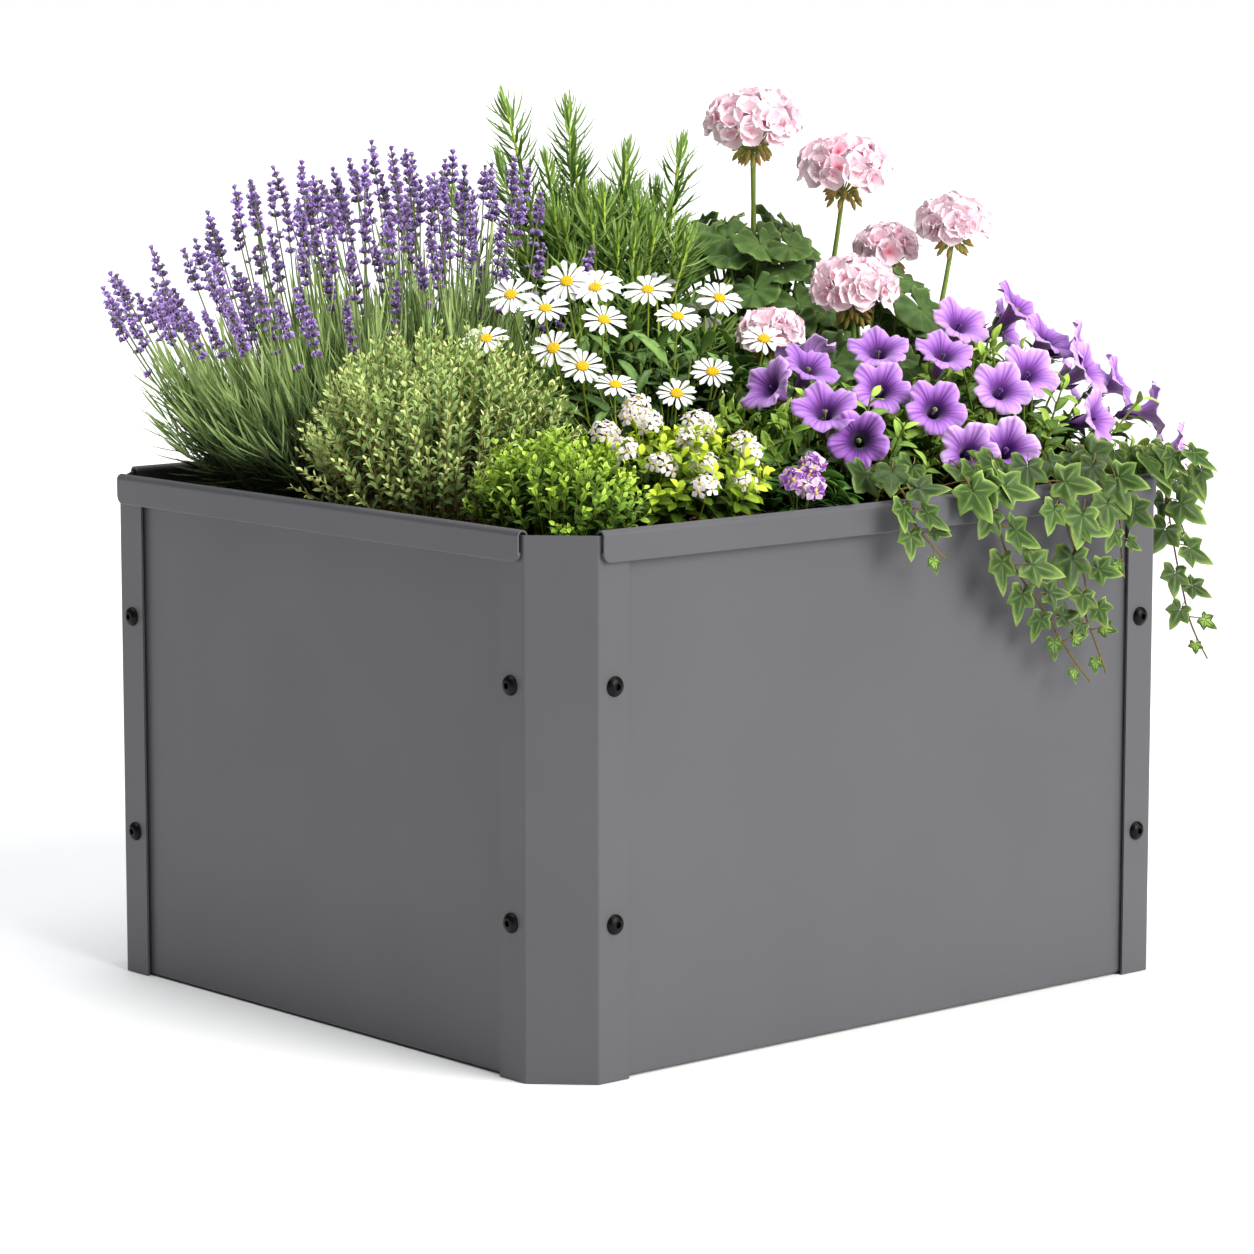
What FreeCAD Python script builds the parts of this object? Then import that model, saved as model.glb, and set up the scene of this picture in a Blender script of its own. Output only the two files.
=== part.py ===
import FreeCAD, Part
import math
import os

# Planter box: bolted sheet-metal box with chamfered corner posts, filled and planted.
# Millimetres. +X along the long side, -Y is the front face, +Z up.
# The origin is on the floor, under the centre of the box.

V = FreeCAD.Vector

# ---- driving dimensions ------------------------------------------------------
LENGTH = 710.0             # over the post flanges, along X
WIDTH = 622.0              # over the post flanges, along Y
POST_HEIGHT = 430.0
RIM_TOP = 434.0            # top of the rolled rim

# corner posts
POST_SHEET = 2.0
CHAMFER = 41.0             # leg of the corner chamfer, measured along each face
FLANGE = 31.0              # bend line to the flange's free edge
POST_BEND = 3.5            # outside bend radius
FOOT_DEPTH = 16.0          # foot tab, folded inwards at the post's lower end
FOOT_WIDTH = 26.0

# side panels
PANEL_SHEET = 1.5
GASKET = 2.3               # thickness of the seal between flange and panel
PANEL_END_GAP = 2.0        # panel end to the post's bend line
ROLL_RADIUS = 5.0          # outside radius of the rolled top edge
LIP_HEIGHT = 25.5          # rim top to the lower edge of the lip
LIP_CORNER = 8.0           # rounded lower corners of the lip
HEM_HEIGHT = 8.0
PANEL_FLOOR_GAP = 0.8
RETURN_DEPTH = 25.0        # inward return at the panel's lower edge

# gasket strips
GASKET_SET_IN = 3.0        # back from the flange's free edge and from the bend
GASKET_FLOOR_GAP = 3.0
GASKET_TOP = 404.0

# bolts, washers and nuts, M8
BOLT_FROM_BEND = 16.0
BOLT_HEIGHTS = (125.0, 312.0)
BOLT_RADIUS = 4.0
BOLT_LENGTH = 18.0
HOLE_RADIUS = 4.5
HEAD_RADIUS = 8.0
HEAD_HEIGHT = 4.4
HEAD_RIM = 1.0             # straight part of the head, below the dome
SOCKET_FLATS = 5.0
SOCKET_DEPTH = 2.6
WASHER_RADIUS = 8.0
WASHER_THICKNESS = 1.6
NUT_FLATS = 13.0
NUT_THICKNESS = 6.5
THREAD_PLAY = 0.05         # radial play of nut and washer on the bolt

# floor of the box
RAIL_WIDTH = 40.0
RAIL_HEIGHT = 20.0
RAIL_SHEET = 2.0
RAIL_PLAY = 2.0            # rail end to the panels
RAIL_PLACES = {"left": -210.0, "centre": 0.0, "right": 210.0}
TRAY_SHEET = 2.0
TRAY_EDGE = 20.0
TRAY_PLAY = 1.0            # tray edge to the panels
DRAIN_RADIUS = 7.0
DRAIN_COLUMNS = 5
DRAIN_ROWS = 4
DRAIN_PITCH = 130.0

# filling
LAYER_GAP = 0.3            # between one layer and the next
FILL_PLAY = 0.5            # filling to the panels
DRAINAGE_TOP = 74.0
MEMBRANE = 1.2
SOIL_TOP = 396.0
MULCH_TOP = 420.0
NUT_POCKET_RADIUS = 11.0

# ---- derived dimensions ------------------------------------------------------
HALF_X = LENGTH / 2
HALF_Y = WIDTH / 2
PANEL_INSET = POST_SHEET + GASKET           # flange outside to panel outside
PANEL_BACK = PANEL_INSET + PANEL_SHEET      # flange outside to panel inside
RETURN_TOP = PANEL_FLOOR_GAP + PANEL_SHEET
RAIL_TOP = RETURN_TOP + RAIL_HEIGHT
TRAY_FLOOR = RAIL_TOP + TRAY_SHEET
CORNER_SUM = HALF_X + HALF_Y - CHAMFER - POST_SHEET * math.sqrt(2)
PLANT_BASE = MULCH_TOP + LAYER_GAP
OVER_RIM = RIM_TOP + 2.0                    # plants may spread outwards above this

# each panel: turn about Z that brings the front panel to it, half the distance
# across the box to it, and half the distance between its two bend lines
PANELS = {
    "front": (0.0, HALF_Y, HALF_X - CHAMFER),
    "right": (90.0, HALF_X, HALF_Y - CHAMFER),
    "back": (180.0, HALF_Y, HALF_X - CHAMFER),
    "left": (270.0, HALF_X, HALF_Y - CHAMFER),
}
CORNERS = {
    "front_left": (-1, -1),
    "front_right": (1, -1),
    "back_left": (-1, 1),
    "back_right": (1, 1),
}

# plants: sections of each one's outer shape, as z, x from, x to, y from, y to
CROWNS = {
    "lavender_left": [
        (PLANT_BASE, -330, -165, 62, 270), (OVER_RIM, -335, -165, 62, 275),
        (560, -405, -165, 62, 335), (720, -420, -165, 62, 350)],
    "lavender_back": [
        (PLANT_BASE, -160, 32, 62, 290), (OVER_RIM, -160, 32, 62, 295),
        (560, -160, 32, 62, 345), (730, -160, 32, 62, 360)],
    "rosemary": [
        (PLANT_BASE, 36, 232, 62, 290), (OVER_RIM, 36, 232, 62, 295),
        (600, 36, 232, 62, 350), (770, 60, 232, 120, 360)],
    "geranium_back": [
        (PLANT_BASE, 236, 320, 62, 270), (OVER_RIM, 236, 330, 62, 275),
        (560, 236, 400, 62, 350), (765, 236, 400, 62, 300)],
    "thyme": [
        (PLANT_BASE, -340, -120, -120, 58), (OVER_RIM, -345, -120, -120, 58),
        (500, -365, -120, -120, 58), (560, -330, -130, -110, 50)],
    "green_herb": [
        (PLANT_BASE, -320, -215, -280, -124), (OVER_RIM, -330, -215, -285, -124),
        (470, -360, -215, -315, -124), (505, -335, -220, -290, -130)],
    "daisies": [
        (PLANT_BASE, -116, 150, -94, 58), (OVER_RIM, -116, 154, -94, 58),
        (600, -116, 154, -94, 58)],
    "geranium_front": [
        (PLANT_BASE, 158, 340, -68, 58), (OVER_RIM, 158, 345, -68, 58),
        (600, 158, 405, -68, 58), (720, 200, 405, -68, 58)],
    "white_alyssum": [
        (PLANT_BASE, -211, -106, -300, -124), (OVER_RIM, -211, -106, -302, -124),
        (515, -205, -110, -310, -124)],
    "verbena": [
        (PLANT_BASE, -102, -40, -300, -246), (OVER_RIM, -102, -40, -302, -246),
        (500, -102, -40, -315, -246)],
    "petunia_front": [
        (PLANT_BASE, -60, 190, -242, -98), (OVER_RIM, -60, 190, -242, -98),
        (560, -60, 190, -242, -98)],
    "petunia_right": [
        (PLANT_BASE, 194, 345, -242, -72), (OVER_RIM, 194, 346, -242, -72),
        (500, 194, 420, -242, -72), (585, 194, 390, -242, -72)],
}

# trailing ivy: boxes that make up each one's outer shape, as x, y and z from and to
IVY_TOP = 478.0
IVY_FRONT_FACE = -360.0    # outermost leaves, in front of the box
IVY_SIDE_FACE = 420.0      # outermost leaves, past the right-hand corner
IVY_CLEAR_FRONT = -318.0   # just clear of the rim's lip
IVY_CLEAR_SIDE = 362.0
IVY_ROOT = -246.0          # back of the rooted part, inside the box
TRAILS = {
    "ivy_front": [
        (0, 300, -300, IVY_ROOT, PLANT_BASE, IVY_TOP),
        (-20, 345, IVY_FRONT_FACE, IVY_ROOT, OVER_RIM, IVY_TOP),
        (-20, 345, IVY_FRONT_FACE, IVY_CLEAR_FRONT, 345, IVY_TOP),
        (100, 345, IVY_FRONT_FACE, IVY_CLEAR_FRONT, 252, 345)],
    "ivy_side": [
        (348, IVY_SIDE_FACE, -345, IVY_ROOT, OVER_RIM, IVY_TOP),
        (IVY_CLEAR_SIDE, IVY_SIDE_FACE, -345, IVY_ROOT, 262, IVY_TOP)],
}


# ---- helpers -----------------------------------------------------------------
def rounded_outline(corners):
    """Closed face from (point, radius) corners; each corner is an arc of that radius."""
    starts, ends = [], []
    count = len(corners)
    for i, (point, radius) in enumerate(corners):
        before = (corners[i - 1][0] - point).normalize()
        after = (corners[(i + 1) % count][0] - point).normalize()
        half_angle = before.getAngle(after) / 2
        reach = radius / math.tan(half_angle) if radius else 0.0
        starts.append(point + before * reach)
        ends.append(point + after * reach)
    edges = []
    for i, (point, radius) in enumerate(corners):
        if radius:
            bisector = ((starts[i] - point) + (ends[i] - point)).normalize()
            half_angle = (starts[i] - point).getAngle(bisector)
            centre = point + bisector * (radius / math.sin(half_angle))
            middle = centre - bisector * radius
            edges.append(Part.Arc(starts[i], middle, ends[i]).toShape())
        following = starts[(i + 1) % count]
        if (following - ends[i]).Length > 1e-6:
            edges.append(Part.LineSegment(ends[i], following).toShape())
    return Part.Face(Part.Wire(edges))


def box(x0, x1, y0, y1, z0, z1):
    return Part.makeBox(x1 - x0, y1 - y0, z1 - z0, V(x0, y0, z0))


def turned(shape, degrees):
    copy = shape.copy()
    copy.rotate(V(0, 0, 0), V(0, 0, 1), degrees)
    return copy


def rod_outwards(x, z, radius, depth_from, depth_to):
    """Cylinder across the front wall; depths are distances from the box's centre."""
    return Part.makeCylinder(radius, depth_to - depth_from, V(x, -depth_to, z), V(0, 1, 0))


def hexagon(flats, height):
    """Hexagonal prism on the XY plane, standing along Z."""
    radius = flats / math.sqrt(3)
    points = []
    for step in range(7):
        angle = math.radians(60 * step)
        points.append(V(radius * math.cos(angle), radius * math.sin(angle), 0))
    return Part.Face(Part.makePolygon(points)).extrude(V(0, 0, height))


def bolt_places():
    """Every bolt as (turn, x along the panel, distance across the box, height)."""
    for turn, across, bend in PANELS.values():
        for side in (-1, 1):
            for height in BOLT_HEIGHTS:
                yield turn, side * (bend - BOLT_FROM_BEND), across, height


def at_every_bolt(piece):
    """Copies of a piece, drawn with +Z pointing out of the wall, at all the bolts."""
    upright = piece.copy()
    upright.rotate(V(0, 0, 0), V(1, 0, 0), 90)
    copies = []
    for turn, x, across, height in bolt_places():
        copy = upright.copy()
        copy.translate(V(x, -across, height))
        copies.append(turned(copy, turn))
    return Part.makeCompound(copies)


def inner_outline(play, corner_play, z0, z1):
    """Prism that fills the box in plan, this far from the panels and from the posts."""
    x = HALF_X - PANEL_BACK - play
    y = HALF_Y - PANEL_BACK - play
    corner = CORNER_SUM - corner_play
    corner_x = corner - y
    corner_y = corner - x
    plan = [
        (x, corner_y), (corner_x, y), (-corner_x, y), (-x, corner_y),
        (-x, -corner_y), (-corner_x, -y), (corner_x, -y), (x, -corner_y),
    ]
    points = [V(px, py, z0) for px, py in plan]
    return Part.Face(Part.makePolygon(points + points[:1])).extrude(V(0, 0, z1 - z0))


# ---- box ---------------------------------------------------------------------
def corner_post(side_x, side_y):
    """Folded sheet post: two flanges and a chamfer, with a foot tab and bolt holes."""
    lean = POST_SHEET * math.tan(math.radians(22.5))
    bend_x = HALF_X - CHAMFER
    bend_y = HALF_Y - CHAMFER
    inside = POST_BEND - POST_SHEET
    section = rounded_outline([
        (V(bend_x - FLANGE, HALF_Y, 0), 0),
        (V(bend_x, HALF_Y, 0), POST_BEND),
        (V(HALF_X, bend_y, 0), POST_BEND),
        (V(HALF_X, bend_y - FLANGE, 0), 0),
        (V(HALF_X - POST_SHEET, bend_y - FLANGE, 0), 0),
        (V(HALF_X - POST_SHEET, bend_y - lean, 0), inside),
        (V(bend_x - lean, HALF_Y - POST_SHEET, 0), inside),
        (V(bend_x - FLANGE, HALF_Y - POST_SHEET, 0), 0),
    ])
    post = section.extrude(V(0, 0, POST_HEIGHT))
    foot = Part.makeBox(FOOT_DEPTH, FOOT_WIDTH, POST_SHEET, V(-FOOT_DEPTH, -FOOT_WIDTH / 2, 0))
    foot.translate(V(-POST_SHEET / 2, 0, 0))
    foot.rotate(V(0, 0, 0), V(0, 0, 1), 45)
    foot.translate(V(HALF_X - CHAMFER / 2, HALF_Y - CHAMFER / 2, 0))
    post = post.fuse(foot).removeSplitter()
    for height in BOLT_HEIGHTS:
        across_y = Part.makeCylinder(
            HOLE_RADIUS, 4 * POST_SHEET,
            V(bend_x - BOLT_FROM_BEND, HALF_Y - 3 * POST_SHEET, height), V(0, 1, 0))
        across_x = Part.makeCylinder(
            HOLE_RADIUS, 4 * POST_SHEET,
            V(HALF_X - 3 * POST_SHEET, bend_y - BOLT_FROM_BEND, height), V(1, 0, 0))
        post = post.cut(across_y).cut(across_x)
    if side_x < 0:
        post = post.mirror(V(0, 0, 0), V(1, 0, 0))
    if side_y < 0:
        post = post.mirror(V(0, 0, 0), V(0, 1, 0))
    return post


def side_panel(turn, across, bend):
    """Sheet panel with a rolled top edge, hemmed lip outside the posts and a lower return."""
    half = bend - PANEL_END_GAP
    outside = across - PANEL_INSET
    inside = across - PANEL_BACK
    lip_face = inside + 2 * ROLL_RADIUS
    lip_back = lip_face - PANEL_SHEET
    hem_back = lip_back - PANEL_SHEET
    lip_low = RIM_TOP - LIP_HEIGHT
    roll_in = ROLL_RADIUS - PANEL_SHEET
    profile = [
        (inside - RETURN_DEPTH, PANEL_FLOOR_GAP, 0),
        (outside, PANEL_FLOOR_GAP, 2 * PANEL_SHEET),
        (outside, RIM_TOP - PANEL_SHEET, roll_in - 0.001),
        (lip_back, RIM_TOP - PANEL_SHEET, roll_in - 0.001),
        (lip_back, lip_low + HEM_HEIGHT, 0),
        (hem_back, lip_low + HEM_HEIGHT, 0),
        (hem_back, lip_low, PANEL_SHEET - 0.001),
        (lip_face, lip_low, PANEL_SHEET - 0.001),
        (lip_face, RIM_TOP, ROLL_RADIUS - 0.001),
        (inside, RIM_TOP, ROLL_RADIUS - 0.001),
        (inside, RETURN_TOP, PANEL_SHEET),
        (inside - RETURN_DEPTH, RETURN_TOP, 0),
    ]
    corners = [(V(-half, -depth, z), radius) for depth, z, radius in profile]
    panel = rounded_outline(corners).extrude(V(2 * half, 0, 0))
    for side in (-1, 1):
        inner = half - LIP_CORNER
        waste = box(inner, half + 1, -lip_face - 1, -hem_back + 0.5, lip_low - 1, lip_low + LIP_CORNER)
        keep = Part.makeCylinder(
            LIP_CORNER, 4 * PANEL_SHEET + 2,
            V(inner, -lip_face - 1.5, lip_low + LIP_CORNER), V(0, 1, 0))
        waste = waste.cut(keep)
        if side < 0:
            waste = waste.mirror(V(0, 0, 0), V(1, 0, 0))
        panel = panel.cut(waste)
        for height in BOLT_HEIGHTS:
            hole = rod_outwards(
                side * (bend - BOLT_FROM_BEND), height, HOLE_RADIUS, inside - 1, outside + 1)
            panel = panel.cut(hole)
    return turned(panel, turn)


def gasket_strip(turn, across, bend, side):
    """Flat rubber strip between a post's flange and a panel, with two bolt holes."""
    outer = bend - GASKET_SET_IN
    inner = bend - FLANGE + GASKET_SET_IN
    front = across - POST_SHEET
    back = across - PANEL_INSET
    strip = box(inner, outer, -front, -back, GASKET_FLOOR_GAP, GASKET_TOP)
    for height in BOLT_HEIGHTS:
        strip = strip.cut(
            rod_outwards(bend - BOLT_FROM_BEND, height, HOLE_RADIUS, back - 1, front + 1))
    if side < 0:
        strip = strip.mirror(V(0, 0, 0), V(1, 0, 0))
    return turned(strip, turn)


def button_bolt():
    """Button-head bolt with a hexagon socket, head standing on the XY plane."""
    dome = HEAD_HEIGHT - HEAD_RIM
    top_radius = SOCKET_FLATS * 0.75
    half_way = V((HEAD_RADIUS + top_radius) / 2 + 0.75, 0, HEAD_RIM + dome * 0.62)
    edges = [
        Part.LineSegment(V(0, 0, -BOLT_LENGTH), V(BOLT_RADIUS, 0, -BOLT_LENGTH)).toShape(),
        Part.LineSegment(V(BOLT_RADIUS, 0, -BOLT_LENGTH), V(BOLT_RADIUS, 0, 0)).toShape(),
        Part.LineSegment(V(BOLT_RADIUS, 0, 0), V(HEAD_RADIUS, 0, 0)).toShape(),
        Part.LineSegment(V(HEAD_RADIUS, 0, 0), V(HEAD_RADIUS, 0, HEAD_RIM)).toShape(),
        Part.Arc(V(HEAD_RADIUS, 0, HEAD_RIM), half_way, V(top_radius, 0, HEAD_HEIGHT)).toShape(),
        Part.LineSegment(V(top_radius, 0, HEAD_HEIGHT), V(0, 0, HEAD_HEIGHT)).toShape(),
        Part.LineSegment(V(0, 0, HEAD_HEIGHT), V(0, 0, -BOLT_LENGTH)).toShape(),
    ]
    bolt = Part.Face(Part.Wire(edges)).revolve(V(0, 0, 0), V(0, 0, 1), 360)
    socket = hexagon(SOCKET_FLATS, SOCKET_DEPTH + 1)
    socket.translate(V(0, 0, HEAD_HEIGHT - SOCKET_DEPTH))
    return bolt.cut(socket)


def washer():
    """Plain washer against the inside of the panel, drawn from the wall's outer face."""
    top = -PANEL_BACK
    ring = Part.makeCylinder(WASHER_RADIUS, WASHER_THICKNESS, V(0, 0, top - WASHER_THICKNESS))
    bore = Part.makeCylinder(
        BOLT_RADIUS + THREAD_PLAY, WASHER_THICKNESS + 2, V(0, 0, top - WASHER_THICKNESS - 1))
    return ring.cut(bore)


def nut():
    """Hexagon nut behind the washer, its outer corners rounded off by a turned chamfer."""
    top = -PANEL_BACK - WASHER_THICKNESS
    blank = hexagon(NUT_FLATS, NUT_THICKNESS)
    blank.translate(V(0, 0, top - NUT_THICKNESS))
    corner_radius = NUT_FLATS / math.sqrt(3)
    turned_blank = Part.makeCylinder(corner_radius, NUT_THICKNESS, V(0, 0, top - NUT_THICKNESS))
    turned_blank = turned_blank.makeChamfer(0.6, [e for e in turned_blank.Edges if e.Closed])
    bore = Part.makeCylinder(
        BOLT_RADIUS + THREAD_PLAY, NUT_THICKNESS + 2, V(0, 0, top - NUT_THICKNESS - 1))
    return blank.common(turned_blank).cut(bore)


# ---- floor and filling -------------------------------------------------------
def base_rail(x):
    """Channel across the box, open below, lying on the front and back panels' returns."""
    reach = HALF_Y - PANEL_BACK - RAIL_PLAY
    half = RAIL_WIDTH / 2
    rail = box(x - half, x + half, -reach, reach, RETURN_TOP, RAIL_TOP)
    hollow = box(
        x - half + RAIL_SHEET, x + half - RAIL_SHEET, -reach - 1, reach + 1,
        RETURN_TOP - 1, RAIL_TOP - RAIL_SHEET)
    return rail.cut(hollow)


def base_tray():
    """Shallow tray on the rails with upturned edges and a grid of drain holes."""
    top = TRAY_FLOOR + TRAY_EDGE
    tray = inner_outline(TRAY_PLAY, 4.0, RAIL_TOP, top)
    room = inner_outline(TRAY_PLAY + TRAY_SHEET, 4.0 + TRAY_SHEET * math.sqrt(2), TRAY_FLOOR, top + 1)
    tray = tray.cut(room)
    for column in range(DRAIN_COLUMNS):
        for row in range(DRAIN_ROWS):
            x = (column - (DRAIN_COLUMNS - 1) / 2) * DRAIN_PITCH
            y = (row - (DRAIN_ROWS - 1) / 2) * DRAIN_PITCH
            drain = Part.makeCylinder(DRAIN_RADIUS, TRAY_SHEET + 2, V(x, y, RAIL_TOP - 1))
            tray = tray.cut(drain)
    return tray


def soil_body():
    """Planting soil, with room for the washers and nuts that stand into it."""
    soil = inner_outline(FILL_PLAY, 4.0, DRAINAGE_TOP + MEMBRANE + 2 * LAYER_GAP, SOIL_TOP)
    stack = PANEL_BACK + WASHER_THICKNESS + NUT_THICKNESS
    depth = max(BOLT_LENGTH, stack) + 1.0
    pocket = Part.makeCylinder(NUT_POCKET_RADIUS, depth, V(0, 0, -depth))
    for hole in at_every_bolt(pocket).Solids:
        soil = soil.cut(hole)
    return soil


def crown(sections):
    """Plain closed body through rectangular sections, one above another."""
    wires = []
    for z, x0, x1, y0, y1 in sections:
        plan = [(x0, y0), (x1, y0), (x1, y1), (x0, y1), (x0, y0)]
        wires.append(Part.makePolygon([V(x, y, z) for x, y in plan]))
    return Part.makeLoft(wires, True, True)


def trail(boxes):
    """Plain closed body of a trailing plant that hangs over the rim."""
    solids = [box(*limits) for limits in boxes]
    body = solids[0]
    for solid in solids[1:]:
        body = body.fuse(solid)
    return body.removeSplitter()


# ---- assembly ----------------------------------------------------------------
def planter():
    nodes = {}
    for name, (side_x, side_y) in CORNERS.items():
        nodes[f"post_{name}"] = corner_post(side_x, side_y)
    for name, (turn, across, bend) in PANELS.items():
        nodes[f"panel_{name}"] = side_panel(turn, across, bend)
        for end, side in (("start", -1), ("end", 1)):
            nodes[f"gasket_{name}_{end}"] = gasket_strip(turn, across, bend, side)
    nodes["bolts"] = at_every_bolt(button_bolt())
    nodes["washers"] = at_every_bolt(washer())
    nodes["nuts"] = at_every_bolt(nut())
    for name, x in RAIL_PLACES.items():
        nodes[f"base_rail_{name}"] = base_rail(x)
    nodes["base_tray"] = base_tray()
    membrane_low = DRAINAGE_TOP + LAYER_GAP
    nodes["drainage_layer"] = inner_outline(
        TRAY_PLAY + TRAY_SHEET + FILL_PLAY, 8.0, TRAY_FLOOR + LAYER_GAP, DRAINAGE_TOP)
    nodes["membrane"] = inner_outline(1.5, 6.0, membrane_low, membrane_low + MEMBRANE)
    nodes["soil"] = soil_body()
    nodes["mulch"] = inner_outline(FILL_PLAY, 4.0, SOIL_TOP + LAYER_GAP, MULCH_TOP)
    for name, sections in CROWNS.items():
        nodes[name] = crown(sections)
    for name, boxes in TRAILS.items():
        nodes[name] = trail(boxes)
    return nodes


os.makedirs("parts", exist_ok=True)
for node, shape in planter().items():
    shape.exportStep(f"parts/{node}.step")
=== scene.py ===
import bpy
import math
import numpy as np
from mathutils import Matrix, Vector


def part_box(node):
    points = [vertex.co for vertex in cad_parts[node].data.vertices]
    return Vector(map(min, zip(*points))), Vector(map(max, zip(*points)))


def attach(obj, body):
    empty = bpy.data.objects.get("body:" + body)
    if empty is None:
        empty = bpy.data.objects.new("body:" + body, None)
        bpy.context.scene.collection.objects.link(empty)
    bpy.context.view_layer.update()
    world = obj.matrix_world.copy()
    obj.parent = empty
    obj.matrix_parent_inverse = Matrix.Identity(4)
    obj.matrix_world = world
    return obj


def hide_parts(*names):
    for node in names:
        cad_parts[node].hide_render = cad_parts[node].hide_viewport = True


# Planter box with its planting. Metres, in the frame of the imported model.

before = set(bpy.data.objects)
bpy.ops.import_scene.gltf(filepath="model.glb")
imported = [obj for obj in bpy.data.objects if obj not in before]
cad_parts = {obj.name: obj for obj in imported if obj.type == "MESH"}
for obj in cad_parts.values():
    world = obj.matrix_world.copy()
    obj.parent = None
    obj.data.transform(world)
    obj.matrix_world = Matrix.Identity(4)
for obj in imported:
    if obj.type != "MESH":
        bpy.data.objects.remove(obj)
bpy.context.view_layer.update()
scene = bpy.context.scene
rng = np.random.default_rng(20)

UP = np.array([0.0, 0.0, 1.0])
GOLDEN = math.pi * (3 - math.sqrt(5))

# ---- dimensions shared by the planting ----
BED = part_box("mulch")[1][2] - 0.01      # mean level of the bark between the stems
LIP_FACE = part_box("panel_front")[0][1]   # outermost face of the front panel's lip
END_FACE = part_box("panel_right")[1][0]   # the same of the right-hand panel


# ---- small vector helpers ----
def unit(v):
    return v / np.maximum(np.linalg.norm(v, axis=-1, keepdims=True), 1e-9)


def turns(along, facing):
    """Row matrices that take a pattern's X, Y, Z to across, along and facing."""
    along = unit(np.asarray(along, float))
    facing = np.broadcast_to(np.asarray(facing, float), along.shape)
    facing = unit(facing - (facing * along).sum(-1, keepdims=True) * along)
    return np.stack([np.cross(along, facing), along, facing], axis=-2)


def jitter(directions, amount):
    """The directions, each turned a little by chance."""
    directions = np.asarray(directions, float)
    return unit(directions + rng.normal(0, amount, directions.shape))


def circle(sides):
    """Angles of this many places round a circle."""
    return np.arange(sides) * 2 * math.pi / sides


def round_about(turn, angle):
    """Directions at this angle round the Y of each of these turns."""
    angle = np.reshape(angle, (-1, 1))
    return np.cos(angle) * turn[:, 0] + np.sin(angle) * turn[:, 2]


def beside(run):
    """Two directions at right angles to each stem's run and to each other.

    The fixed direction is one that hardly any stem follows.
    """
    side = unit(np.cross(run, [0.31, 0.95, 0.05]))
    return side, np.cross(run, side)


def linear(red, green, blue):
    """Scene colour of an 8-bit display colour."""
    def channel(c):
        c = c / 255
        return c / 12.92 if c <= 0.04045 else ((c + 0.055) / 1.055) ** 2.4
    return channel(red), channel(green), channel(blue), 1.0


# ---- patterns: small meshes that are copied many times ----
class Pattern:
    """Points, faces and a tint (0 to 1, across the tissue's palette) for each point."""

    def __init__(self, points, quads, tint, along=None, tris=None):
        self.points = np.asarray(points, float)
        self.quads = np.asarray(quads, int).reshape(-1, 4)
        self.tris = np.zeros((0, 3), int) if tris is None else np.asarray(tris, int)
        self.tint = np.broadcast_to(np.asarray(tint, float), len(self.points)).copy()
        self.along = self.points[:, 1] if along is None else np.asarray(along, float)


def joined(*patterns):
    """One pattern with the points and faces of all of these."""
    points, quads, tris, tint, along, count = [], [], [], [], [], 0
    for p in patterns:
        points.append(p.points)
        quads.append(p.quads + count)
        tris.append(p.tris + count)
        tint.append(p.tint)
        along.append(p.along)
        count += len(p.points)
    return Pattern(*(np.concatenate(x) for x in (points, quads, tint, along, tris)))


def ringed(pattern, angles, along, facing, place, size=1.0):
    """Copies round the Y axis at these angles.

    along, facing and place are each given as (share away from the axis, share up it).
    """
    copies = []
    for angle in angles:
        ahead, upper, at = (np.array([[out * math.cos(angle), up, out * math.sin(angle)]])
                            for out, up in (along, facing, place))
        points = pattern.points * size @ turns(ahead, upper)[0] + at[0]
        copies.append(Pattern(points, pattern.quads, pattern.tint, pattern.along, pattern.tris))
    return copies


def grid_quads(rows, cols, closed=False):
    """Faces of a grid of points; closed joins its last column to its first."""
    r = np.arange(rows - 1)[:, None]
    c = np.arange(cols if closed else cols - 1)[None]
    n = (c + 1) % cols
    return np.stack([r * cols + c, r * cols + n, (r + 1) * cols + n, (r + 1) * cols + c],
                    -1).reshape(-1, 4)


def leaf(rows, cols, outline, curl, fold, wave=0.0, waves=3, tint=(0.0, 0.3)):
    """Leaf of length 1 along Y.

    curl bends it back, fold raises its halves and wave ripples its edge. outline gives
    the half width at each place from 0 to 1, and tint runs from midrib to margin.
    """
    t = np.linspace(0, 1, rows)[:, None]
    s = np.linspace(-1, 1, cols)[None]
    half = np.maximum(outline(t), 0.006)
    bend = curl * t
    length = np.sin(bend) / curl
    drop = (1 - np.cos(bend)) / curl
    lift = fold * np.abs(s) * half + wave * s ** 2 * np.sin(2 * math.pi * waves * t + 2 * s)
    x = s * half
    y = length + lift * np.sin(bend)
    z = -drop + lift * np.cos(bend)
    points = np.stack([x, y + 0 * s, z + 0 * s], -1).reshape(-1, 3)
    shade = (tint[0] + (tint[1] - tint[0]) * np.abs(s) ** 1.5 + 0 * t).ravel()
    return Pattern(points, grid_quads(rows, cols), shade, (t + 0 * s).ravel())


def turned_form(sides, profile, tints):
    """Form turned about Y from (distance along, radius) pairs, with a tint for each."""
    angle = circle(sides)
    points = [np.stack([radius * np.cos(angle), np.full(sides, y), radius * np.sin(angle)], -1)
              for y, radius in profile]
    along = np.arange(len(profile)) / (len(profile) - 1)
    return Pattern(np.concatenate(points), grid_quads(len(profile), sides, closed=True)[:, ::-1],
                   np.repeat(tints, sides), np.repeat(along, sides))


def point_normals(pattern):
    normals = np.zeros_like(pattern.points)
    for faces in (pattern.quads, pattern.tris):
        if len(faces):
            corner = pattern.points[faces]
            face = np.cross(corner[:, 2] - corner[:, 0], corner[:, -1] - corner[:, 1])
            for k in range(faces.shape[1]):
                np.add.at(normals, faces[:, k], face)
    return unit(normals)


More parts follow.
